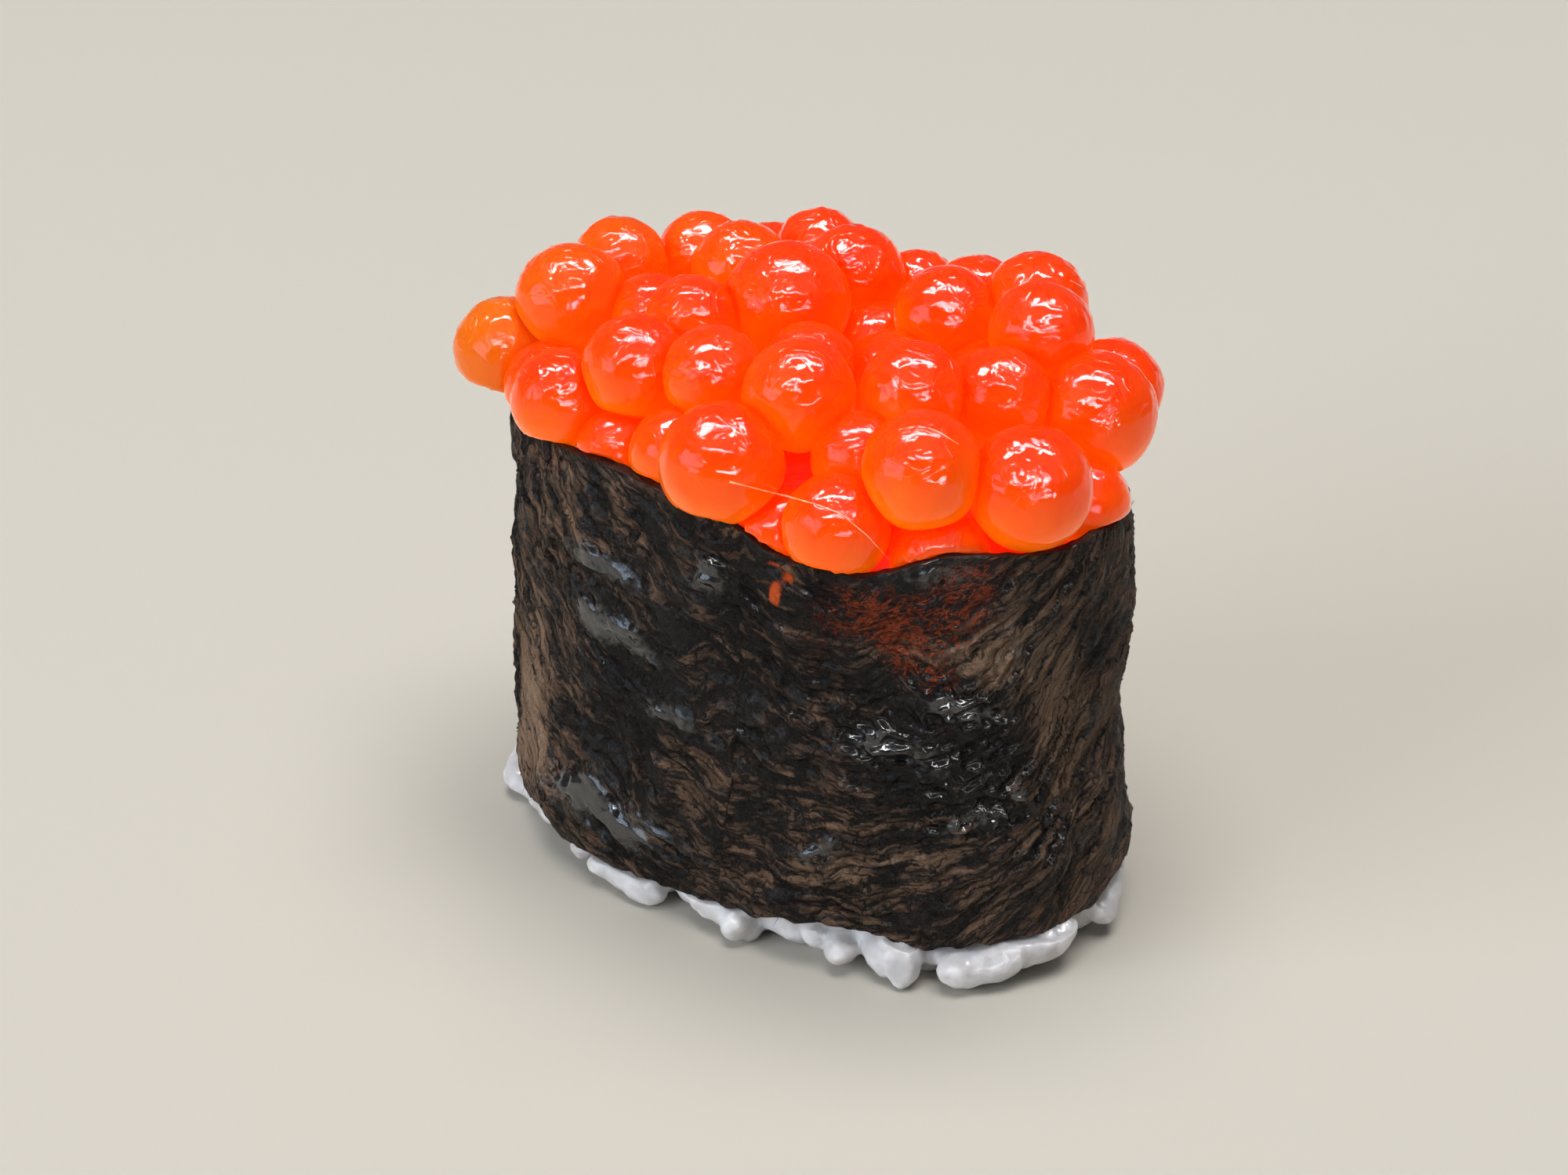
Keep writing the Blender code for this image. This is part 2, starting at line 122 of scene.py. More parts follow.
# Rice, as in the solids.
RICE_TOP = 24.0
RICE_FOOT = 0.6
GRAIN_LENGTH = 6.2
GRAIN_WIDTH = 2.9
GRAIN_FLATNESS = 0.86
UNDERSIDE_PITCH = 5.8
UNDERSIDE_LEVEL = 0.75
RICE_SEED = 11
RICE_FACE = 0.24
RICE_CLEARANCE = 0.18
FRONT_GRAINS = (
    (-148, 0.2, 1.0, 60, 15), (-132, -0.6, 0.9, -20, 40), (-121, -0.6, 1.6, 60, 5),
    (-113, 0.0, 1.1, -35, 30), (-104, 1.0, 1.1, -25, 22), (-99, 0.6, 1.0, 25, 40),
    (-92, -0.2, 1.4, 80, 5), (-86, -1.6, 1.2, -10, 30), (-77, -1.2, 1.0, 85, 18),
    (-73, -3.2, 1.0, 10, 40), (-66, -1.8, 1.0, -25, 40), (-59, 0.5, 1.2, 15, 10),
    (-52, 0.4, 1.1, 5, 28), (-46, 1.0, 0.6, 10, 48), (-39, 0.5, 1.2, -70, 8),
    (-24, 0.0, 1.7, -75, 10), (-9, -0.2, 0.8, 5, 48), (6, 0.0, 1.0, -65, 35),
    (18, -0.2, 1.5, 20, 25), (28, 0.0, 1.4, -60, 20),
)
FRONT_GRAIN_SIZES = (1.0, 1.15)
HIDDEN_GRAINS = 20
HIDDEN_START = math.radians(38)
HIDDEN_END = math.radians(204)
LYING_GRAIN = ((-0.9, 0.3), (1.0, 1.6), (1.1, 1.5), (0.05, 0.25))
POINTING_GRAIN = ((-0.6, 0.7), (0.6, 1.1), (0.0, 0.5), (0.4, 0.9))
HIDDEN_GRAIN_SIZES = (0.95, 1.1)

# Roe, as in the solids: pearls on a mound of which only the top layers show.
PEARL_SMALL = 6.3
PEARL_LARGE = 7.6
HEAP_EDGE = 33.0
HEAP_RISE = 5.8
HEAP_TOP = 41.5
LAYER_DEPTH = 3.4
FILL_STEP = 1.1
FILL_WIDEST = 0.95
UPPER_FILL = 0.86
LOWER_FILL = 0.76
PEARL_SQUEEZE = 0.9
RIM_SQUEEZE = 0.98
FRONT_RIM_SQUEEZE = 0.78
FRONT_GIVES = 0.15
SEAT_PULL = 0.06
SETTLING_ROUNDS = 60
RIM_POINTS = 120
ROE_SEED = 5
FIBRE_SEED = 3
FRONT_PEARLS = (
    (-22.4, -7.2, 36.0, 7.4), (-19.0, -4.6, 39.2, 7.8), (-20.2, 2.0, 40.0, 6.8),
    (-16.6, 7.0, 40.0, 6.4), (-11.7, 5.4, 41.0, 6.8), (-4.2, 2.4, 41.6, 8.7),
    (-9.0, 11.5, 40.8, 6.4), (-3.4, 9.2, 40.9, 7.0), (-2.0, 13.0, 39.4, 6.0),
    (5.6, 7.6, 41.0, 7.0), (10.2, 12.0, 41.6, 7.2), (13.8, 8.6, 41.6, 7.0),
    (18.6, 7.2, 37.6, 8.3), (16.5, 13.0, 37.0, 6.8), (14.8, 2.4, 39.4, 7.0),
    (11.0, -2.8, 40.4, 6.9), (5.6, -7.8, 40.3, 7.4), (-2.1, -8.4, 40.0, 6.7),
    (-8.5, -10.2, 38.4, 7.2), (-8.4, -3.5, 40.4, 6.6), (-13.6, -2.4, 39.2, 6.4),
    (-12.6, -12.0, 36.6, 6.8), (-7.5, -13.0, 34.4, 6.4), (3.6, -14.0, 35.8, 8.2),
    (16.4, -8.2, 37.8, 7.8), (21.8, -3.2, 36.9, 8.2), (11.6, -11.4, 34.4, 7.0),
    (10.5, -8.0, 37.0, 6.4), (18.2, -8.6, 32.8, 6.6), (21.3, 4.2, 33.6, 6.8),
    (1.6, -1.0, 38.6, 6.6), (4.0, 2.5, 38.0, 7.4), (6.8, -12.4, 32.6, 6.2),
    (-17.8, -8.6, 34.8, 6.6),
)
# How amber the first of those pearls are. The rest are a plain orange red.
AMBER_PEARLS = (1.0, 0.5, 0.45, 0.3, 0.25)
# How far one pearl keeps clear of the plane where it meets the next, and how tight the fold
# between them is.
CONTACT_GAP = 0.03
CONTACT_POWER = 22
# How finely the upper and the lower pearls are divided.
PEARL_DETAIL = (5, 4)
# How far the pearls stay clear of the nori, and how steeply they may bulge out above its edge.
ROE_CLEARANCE = 0.12
BULGE_SLOPE = 4.0
# The mound under the pearls: how far it is sunk below the heap's line, and its rings' shares
# of the width.
MOUND_DROP = 1.6
MOUND_SHARES = (0.9, 0.75, 0.55, 0.3)

# The camera: its turn round the sushi and its height above level in degrees, its distance from
# the centre, that centre, and the point that it looks at.
CAMERA_TURN = 40
CAMERA_RISE = 28
CAMERA_DISTANCE = 300
CAMERA_CENTRE = Vector((0, 0, 16))
CAMERA_AIM = Vector((-2.95, 0.21, 19.87))
CAMERA_LENS = 94.2
SENSOR_WIDTH = 36
# The photograph's frame: its width, and the pixel that shows CAMERA_CENTRE.
PHOTO_WIDTH = 2000
PHOTO_MIDDLE = (1037, 826)
LAMP_AIM = Vector((0, 0, 30))
FLOOR_HALF = 4.0


def direction(turn, rise):
    """The way out at a turn round the sushi and a rise above level, in degrees."""
    turn, rise = math.radians(turn), math.radians(rise)
    return np.array((
        math.sin(turn) * math.cos(rise), -math.cos(turn) * math.cos(rise), math.sin(rise),
    ))


BACK = direction(CAMERA_TURN, CAMERA_RISE)
RIGHT = direction(CAMERA_TURN + 90, 0)
UP = np.cross(BACK, RIGHT)
PIXELS = CAMERA_LENS / SENSOR_WIDTH * PHOTO_WIDTH


# ---------------------------------------------------------------- shape of the wall


def eased(table, degrees):
    """A smooth value between the (degrees, value) pairs of a closed table."""
    turned = (degrees + 180) % 360 - 180
    around = [*table, (table[0][0] + 360, table[0][1])]
    for (start, low), (end, high) in zip(around, around[1:]):
        if start <= turned <= end:
            share = (1 - math.cos(math.pi * (turned - start) / (end - start))) / 2
            return low + (high - low) * share
    return table[0][1]


def rim_height(angle):
    return eased(RIM_HEIGHTS, math.degrees(angle))


def foot_height(angle):
    return eased(FOOT_HEIGHTS, math.degrees(angle))


def spread(height):
    """How much wider the oval is than at the rim, at one height or at many."""
    below = np.maximum(0.0, (RIM_LEVEL - height) / BAND_HEIGHT)
    curl = np.maximum(0.0, (CURL_TOP - height) / CURL_DEPTH)
    return 1 + FOOT_SPREAD * below - FOOT_CURL * curl


def oval(angle, height):
    """The smooth oval's point and its outward direction, at one angle and height."""
    wide = spread(height)
    place, outward = Vector((0, 0, height)), Vector((0, 0, 0))
    for axis, (half, part) in enumerate((
        (HALF_LENGTH, math.cos(angle)), (HALF_WIDTH, math.sin(angle)),
    )):
        share = abs(part) ** (2 / OVAL_POWER)
        place[axis] = math.copysign(half * wide * share, part)
        outward[axis] = math.copysign(share ** (OVAL_POWER - 1) / half, part)
    return place, outward.normalized()


def wall_wave(place):
    """How far the wall stands out or in at a place on the smooth oval."""
    return WALL_WAVE * noise.noise(place / WALL_WAVE_LENGTH)


def wall(angle, height, outset):
    """A point of the band's wall, outset from its inner face."""
    place, outward = oval(angle, height)
    return place + outward * (outset - NORI_THICK + wall_wave(place))


def inside_share(place):
    """0 on the oval's middle line, 1 on its wall, for a place at any height."""
    wide = spread(place.z)
    along = abs(place.x) / (HALF_LENGTH * wide)
    across = abs(place.y) / (HALF_WIDTH * wide)
    return (along**OVAL_POWER + across**OVAL_POWER) ** (1 / OVAL_POWER)


def lap_thickness(turn):
    """The second layer's thickness at a share of a turn back from the strip's outer end."""
    lap = LAP_ANGLE / math.tau
    return LAP_THICK * max(0.0, min(1.0, (lap - turn) / (0.25 * lap)))


class WallSide:
    """Where many places are against the nori's wall: distances, directions and edges."""

    def __init__(self, places):
        x, y, z = places.T
        wide = spread(z)
        along = np.maximum(np.abs(x), 1e-6) / (HALF_LENGTH * wide)
        across = np.maximum(np.abs(y), 1e-6) / (HALF_WIDTH * wide)
        share = (along**OVAL_POWER + across**OVAL_POWER) ** (1 / OVAL_POWER)
        slope = np.stack((
            np.copysign((along / share) ** (OVAL_POWER - 1) / (HALF_LENGTH * wide), x),
            np.copysign((across / share) ** (OVAL_POWER - 1) / (HALF_WIDTH * wide), y),
            np.zeros_like(x),
        ), axis=1)
        steepness = np.linalg.norm(slope, axis=1)
        self.outward = slope / steepness[:, None]
        distance = (share - 1) / steepness
        angle = np.degrees(np.arctan2(
            np.copysign((across / share) ** (OVAL_POWER / 2), y),
            np.copysign((along / share) ** (OVAL_POWER / 2), x),
        ))
        fine = np.arange(-180, 181, 1.0)
        self.rim = np.interp(angle, fine, [eased(RIM_HEIGHTS, turn) for turn in fine])
        self.foot = np.interp(angle, fine, [eased(FOOT_HEIGHTS, turn) for turn in fine])
        near = np.abs(distance) < 3
        wave = np.zeros_like(x)
        on_oval = places - self.outward * distance[:, None]
        wave[near] = [wall_wave(Vector(place)) for place in on_oval[near]]
        # From the middle of the nori's thickness, outward.
        self.beyond = distance - wave + NORI_THICK / 2


# ---------------------------------------------------------------- meshes


def new_object(name, mesh):
    made = bpy.data.objects.new(name, mesh)
    bpy.context.scene.collection.objects.link(made)
    return made


def finished_mesh(carrier):
    """The mesh that an object ends up with, in place of the object."""
    evaluated = carrier.evaluated_get(bpy.context.evaluated_depsgraph_get())
    mesh = bpy.data.meshes.new_from_object(evaluated)
    carrier.modifiers.clear()
    bpy.data.objects.remove(carrier)
    return mesh


def places_of(mesh):
    """A mesh's vertices in millimetres."""
    flat = np.empty(len(mesh.vertices) * 3)
    mesh.vertices.foreach_get("co", flat)
    return flat.reshape(-1, 3) / MM


def set_places(mesh, places):
    mesh.vertices.foreach_set("co", (places * MM).ravel())
    mesh.update()


def set_attribute(mesh, name, values, kind="FLOAT"):
    layer = mesh.attributes.new(name, kind, "POINT")
    key = "value" if kind == "FLOAT" else "vector"
    layer.data.foreach_set(key, np.array(values, dtype=float).ravel())


def noise_at(places, length, offset=0.0):
    """Smooth noise between about -1 and 1 at many places, with waves of this length."""
    shift = Vector((offset, 0.37 * offset, -0.61 * offset))
    return np.array([noise.noise(Vector(place) / length + shift) for place in places])


def add_piece(name, mesh, slot, material, hides_solid=True):
    """Adds a piece that rides the body, and that may stand for its slot's solid."""
    piece = new_object(name, mesh)
    mesh.materials.clear()
    mesh.materials.append(material)
    mesh.shade_smooth()
    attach(piece, "root")
    if hides_solid:
        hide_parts(slot)
    return {"FINISHED"}


# ---------------------------------------------------------------- node trees


class Value:
    """One output of a node, on which Python's arithmetic adds Math nodes."""

    def __init__(self, graph, socket):
        self.graph = graph
        self.socket = socket

    def _math(self, operation, *values):
        inputs = dict(enumerate(values))
        return self.graph.node("ShaderNodeMath", {"operation": operation}, inputs)

    def __add__(self, other):
        return self._math("ADD", self, other)

    def __sub__(self, other):
        return self._math("SUBTRACT", self, other)

    def __rsub__(self, other):
        return self._math("SUBTRACT", other, self)

    def __mul__(self, other):
        return self._math("MULTIPLY", self, other)

    __radd__ = __add__
    __rmul__ = __mul__

    def __abs__(self):
        return self._math("ABSOLUTE", self)

    def step(self, low, high):
        """0 below low, 1 above high, and smooth between them."""
        return self.graph.node(
            "ShaderNodeMapRange", {"interpolation_type": "SMOOTHSTEP"},
            {"Value": self, "From Min": low, "From Max": high},
        )

    def scaled(self, x, y=None, z=None):
        """A vector with its parts multiplied."""
        factors = (x, x if y is None else y, x if z is None else z)
        settings = {"operation": "MULTIPLY"}
        return self.graph.node("ShaderNodeVectorMath", settings, {0: self, 1: factors})


class Graph:
    """A node tree under construction."""

    def __init__(self, tree):
        self.tree = tree

    def node(self, kind, settings=None, inputs=None, output=0):
        """Adds a node with its settings first, then its inputs, and gives one output."""
        made = self.tree.nodes.new(kind)
        for name, value in (settings or {}).items():
            setattr(made, name, value)
        for name, value in (inputs or {}).items():
            if isinstance(value, Value):
                self.tree.links.new(value.socket, made.inputs[name])
            else:
                made.inputs[name].default_value = value
        return Value(self, made.outputs[output] if made.outputs else None)


class Surface(Graph):
    """A material under construction, whose patterns are measured in millimetres."""

    def __init__(self, name):
        self.material = bpy.data.materials.new(name)
        self.material.use_nodes = True
        self.material.node_tree.nodes.clear()
        super().__init__(self.material.node_tree)
        self.place = self.node("ShaderNodeTexCoord", output="Object").scaled(1 / MM)

    def attribute(self, name, output="Fac"):
        return self.node("ShaderNodeAttribute", {"attribute_name": name}, output=output)

    def noise(self, place, length=1.0, detail=2.0, roughness=0.5, distortion=0.0):
        """Noise from 0 to 1, whose waves are this long."""
        return self.node("ShaderNodeTexNoise", {}, {
            "Vector": place, "Scale": 1 / length, "Detail": detail,
            "Roughness": roughness, "Distortion": distortion,
        }, output="Fac")

    def mix(self, factor, first, second):
        """A colour between two."""
        settings = {"data_type": "RGBA"}
        return self.node("ShaderNodeMix", settings, {0: factor, 6: first, 7: second}, output=2)

    def bump(self, height, depth, normal=None):
        """A normal that leans as if the height, from 0 to 1, were this many millimetres."""
        inputs = {"Height": height, "Distance": depth * MM, "Strength": 1.0}
        if normal is not None:
            inputs["Normal"] = normal
        return self.node("ShaderNodeBump", {}, inputs)

    def shaded(self, inputs):
        """Ends the material with one Principled shader."""
        shader = self.node("ShaderNodeBsdfPrincipled", {}, inputs)
        self.node("ShaderNodeOutputMaterial", {}, {"Surface": shader})
        return self.material


def scattered(name, places, shape, sizes):
    """One mesh of a shape repeated at places, each a dictionary of a point's attributes.

    The shape is a function that adds the repeated form to the geometry tree.
    """
    points = bpy.data.meshes.new(name + "_places")
    points.from_pydata([row["place"] * MM for row in places], [], [])
    for attribute, kind in (("turn", "FLOAT_VECTOR"), ("size", "FLOAT"), ("number", "FLOAT")):
        values = [row.get(attribute, index) for index, row in enumerate(places)]
        set_attribute(points, attribute, values, kind)
    tree = bpy.data.node_groups.new(name + "_scatter", "GeometryNodeTree")
    tree.interface.new_socket("Geometry", in_out="INPUT", socket_type="NodeSocketGeometry")
    identifiers = {}
    for label, value in sizes.items():
        kind = "NodeSocketInt" if isinstance(value, int) else "NodeSocketFloat"
        socket = tree.interface.new_socket(label, in_out="INPUT", socket_type=kind)
        identifiers[label] = socket.identifier
    tree.interface.new_socket("Geometry", in_out="OUTPUT", socket_type="NodeSocketGeometry")
    graph = Graph(tree)
    entry = tree.nodes.new("NodeGroupInput")
    given = {output.name: Value(graph, output) for output in entry.outputs if output.name}
    turn, size = (
        graph.node("GeometryNodeInputNamedAttribute", {"data_type": kind}, {"Name": attribute})
        for attribute, kind in (("turn", "FLOAT_VECTOR"), ("size", "FLOAT"))
    )
    copies = graph.node("GeometryNodeInstanceOnPoints", {}, {
        "Points": given["Geometry"], "Instance": shape(graph, given),
        "Rotation": graph.node("FunctionNodeEulerToRotation", {}, {0: turn}), "Scale": size,
    })
    joined = graph.node("GeometryNodeRealizeInstances", {}, {"Geometry": copies})
    material = bpy.data.materials.new(name + "_blank")
    dressed = graph.node("GeometryNodeSetMaterial", {}, {"Geometry": joined, "Material": material})
    leaving = tree.nodes.new("NodeGroupOutput")
    tree.links.new(dressed.socket, leaving.inputs[0])
    carrier = new_object(name + "_carrier", points)
    modifier = carrier.modifiers.new("scatter", "NODES")
    modifier.node_group = tree
    for label, value in sizes.items():
        modifier[identifiers[label]] = value
    mesh = finished_mesh(carrier)
    mesh.name = name
    mesh.materials.clear()
    bpy.data.materials.remove(material)
    bpy.data.meshes.remove(points)
    return mesh


def core(rings):
    """A closed body inside the band as (vertices, faces), lofted through rings of
    (share of the way out, height)."""
    vertices, faces, sides = [], [], CORE_SIDES
    for share, height in rings:
        for side in range(sides):
            place = wall(math.tau * side / sides, height, -GAP - CORE_SLACK)
            vertices.append((place.x * share, place.y * share, height))
    for ring in range(len(rings) - 1):
        for side in range(sides):
            after = (side + 1) % sides
            low, high = ring * sides, (ring + 1) * sides
            faces.append((low + side, low + after, high + after, high + side))
    faces.append(tuple(range(sides))[::-1])
    faces.append(tuple(range((len(rings) - 1) * sides, len(rings) * sides)))
    return vertices, faces


def joined_mesh(name, mesh, vertices, faces):
    """The mesh with one more closed body in it, given in millimetres."""
    bm = bmesh.new()
    bm.from_mesh(mesh)
    added = [bm.verts.new(Vector(vertex) * MM) for vertex in vertices]
    for face in faces:
        bm.faces.new([added[index] for index in face])
    bmesh.ops.triangulate(bm, faces=[face for face in bm.faces if len(face.verts) > 4])
    whole = bpy.data.meshes.new(name)
    bm.to_mesh(whole)
    bm.free()
    return whole


# ---------------------------------------------------------------- nori


def photo_pixels(places):
    """Where places are in the photograph's frame of 2000 by 1499 pixels."""
    offset = places - np.array(CAMERA_CENTRE)
    scale = PIXELS / (CAMERA_DISTANCE - offset @ BACK)
    return PHOTO_MIDDLE[0] + scale * (offset @ RIGHT), PHOTO_MIDDLE[1] - scale * (offset @ UP)


# Marks on the front of the nori, in the photograph's pixels: middle, half length, half
# width, and how far the long way is turned down to the right in degrees. The last number
# is how far the mark stands out in millimetres, or how strong it is.
NORI_FOLDS = (
    (770, 722, 75, 16, 38, 0.45), (800, 800, 90, 14, 40, 0.4), (745, 770, 60, 12, 42, 0.3),
    (905, 742, 20, 24, 60, 0.55), (790, 1040, 80, 24, 32, 0.6), (735, 1010, 40, 20, 62, 0.4),
    (870, 1075, 60, 14, 30, 0.35), (715, 640, 70, 14, 62, 0.3), (850, 905, 60, 12, 35, 0.25),
    (1330, 1090, 80, 16, -18, 0.3), (1230, 905, 70, 14, 10, 0.25), (1040, 1085, 34, 16, -25, 0.4),
    (1160, 960, 120, 10, 6, 0.25), (1250, 1010, 90, 10, -8, 0.25), (1390, 900, 90, 10, -75, 0.3),
    (1280, 820, 60, 9, -40, 0.25),
)
NORI_CRUMPLES = (
    (1130, 960, 130, 60, 10, 0.9), (1240, 880, 90, 60, 30, 0.8), (1240, 1040, 90, 40, -10, 0.8),
    (1040, 1090, 50, 30, 0, 0.6), (800, 760, 120, 60, 40, 0.5),
)
NORI_STAINS = (
    (1150, 800, 120, 50, 15, 0.4), (1220, 760, 110, 40, 0, 0.35), (1060, 780, 50, 40, 0, 0.3),
    (1150, 800, 60, 40, 20, 0.7), (1180, 860, 50, 24, 30, 0.8), (1110, 790, 36, 18, 10, 0.8),
    (1230, 760, 34, 60, 0, 0.55), (1270, 730, 50, 20, 0, 0.5), (1040, 830, 50, 30, 20, 0.35),
    (1200, 930, 40, 12, 30, 0.4),
)
NORI_ROE_STREAKS = (
    (992, 764, 17, 10, 80, 1.1), (1002, 738, 12, 9, 60, 0.9), (984, 722, 12, 6, 30, 0.7),
    (1105, 800, 12, 4, 40, 0.5), (755, 677, 8, 5, 40, 0.25), (798, 740, 9, 5, 60, 0.4),
    (1010, 718, 16, 5, 10, 0.6),
)
NORI_WET = (
    (775, 722, 50, 12, 36, 1.0), (800, 805, 70, 12, 40, 1.0), (905, 740, 20, 22, 60, 1.0),
    (780, 1035, 70, 26, 32, 0.9), (730, 1000, 30, 20, 60, 0.9), (1040, 1085, 30, 14, -20, 1.0),
    (1120, 950, 60, 26, 5, 0.8), (1230, 900, 60, 16, 10, 0.7), (1190, 730, 90, 26, 0, 0.6),
    (850, 910, 50, 10, 30, 0.8), (1240, 1045, 50, 16, -10, 0.7), (1300, 1012, 12, 6, 0, 0.9),
    (1300, 820, 40, 12, -40, 0.5),
)
# Paler places, and with a negative strength less pale ones. The two tall pale columns at the
# wall's far left and right are painted light, where the wall turns away; the others are the nori's
# own tone.
NORI_PALE_AND_PAINTED_LIGHT = (
    (1190, 970, 130, 60, 0, -0.9), (1130, 880, 100, 60, 0, -0.4), (790, 880, 70, 130, 0, -0.5),
    (1160, 765, 150, 45, 0, -0.6), (940, 900, 60, 160, 0, -0.3),
    (680, 900, 22, 150, 0, 0.9), (1330, 880, 60, 170, -10, 0.7), (1160, 980, 90, 12, 6, 0.5),
    (1180, 1090, 120, 20, -12, 0.6), (1200, 830, 80, 26, 20, 0.5), (720, 600, 30, 20, 40, 0.4),
)


def marks(pixels, front, table, crest=2.0):
    """The summed strength of a table of soft oval marks at many pixels.

    A crest of 2 is rounded across the mark, and one near 1 is sharp.
    """
    across, down = pixels
    total = np.zeros_like(across)
    for x, y, half_length, half_width, turn, strength in table:
        cosine, sine = math.cos(math.radians(turn)), math.sin(math.radians(turn))
        along = ((across - x) * cosine + (down - y) * sine) / half_length
        aside = (-(across - x) * sine + (down - y) * cosine) / half_width
        total += strength * np.exp(-(along**2) - np.abs(aside) ** crest)
    return total * front


def plain_strip():
    """The strip before it is creased: its outer places with their outward directions and
    their coordinates along and across the fibres, and its inner places."""
    turns = np.append(np.arange(NORI_COLUMNS - 1) / (NORI_COLUMNS - 1), 1 - SEAM_STEP)
    middle = [wall(SEAM_ANGLE - math.tau * turn, 18.0, 0) for turn in turns]
    steps = [0.0, *((b - a).length for a, b in zip(middle, middle[1:]))]
    run = np.cumsum(steps)
    slopes = [eased(FIBRE_SLOPES, math.degrees(SEAM_ANGLE - math.tau * turn)) for turn in turns]
    # Going along the columns is going clockwise, which is leftward in front.
    climb = np.cumsum(-np.array(slopes) * np.array(steps))
    outer, normals, fibre, inner = [], [], [], []
    for column, turn in enumerate(turns):
        pressed = SEAM_PRESSED + (1 - SEAM_PRESSED) * min(1.0, turn / SEAM_TAPER)
        thick = NORI_THICK + lap_thickness(turn) * pressed
        for row in range(NORI_ROWS + 1):
            share = row / NORI_ROWS
            ragged_seam = (0.03 * noise.noise(Vector((share * 2.5, 0, 1.7)))
                           + 0.012 * noise.noise(Vector((share * 11, 0, 3.3))))
            angle = SEAM_ANGLE - math.tau * turn + SEAM_SLANT * (1 - share) + ragged_seam
            edge, _ = oval(angle, 3.0)
            ragged = 0.5 * noise.noise(edge / 2.1) + 0.2 * noise.noise(edge / 0.7)
            low = foot_height(angle) + ragged
            high = rim_height(angle) + 0.12 * noise.noise(edge / 0.9)
            height = low + (high - low) * share
            place, outward = oval(angle, height)
            wave = wall_wave(place)
            outer.append(place + outward * (thick - NORI_THICK + wave))
            normals.append(outward)
            fibre.append((run[column], height - climb[column]))
            if row % (NORI_ROWS // NORI_INNER_ROWS) == 0 or row == NORI_ROWS:
                inner.append(place + outward * (wave - NORI_THICK))
    return (np.array(column) for column in (outer, normals, fibre, inner))


def strip_faces(inner_rows):
    """The ring's faces: its outside, its inside, and the two edges between them."""
    rows = NORI_ROWS + 1
    first_inner = rows * NORI_COLUMNS
    faces = []
    for column in range(NORI_COLUMNS):
        after = (column + 1) % NORI_COLUMNS
        here, there = column * rows, after * rows
        inside, inside_there = first_inner + column * inner_rows, first_inner + after * inner_rows
        for row in range(NORI_ROWS):
            faces.append((here + row, here + row + 1, there + row + 1, there + row))
        for row in range(inner_rows - 1):
            low, far = inside + row, inside_there + row
            faces.append((low, far, far + 1, low + 1))
        faces.append((inside, here, there, inside_there))
        faces.append((inside + inner_rows - 1, inside_there + inner_rows - 1,
                      there + rows - 1, here + rows - 1))
    return faces


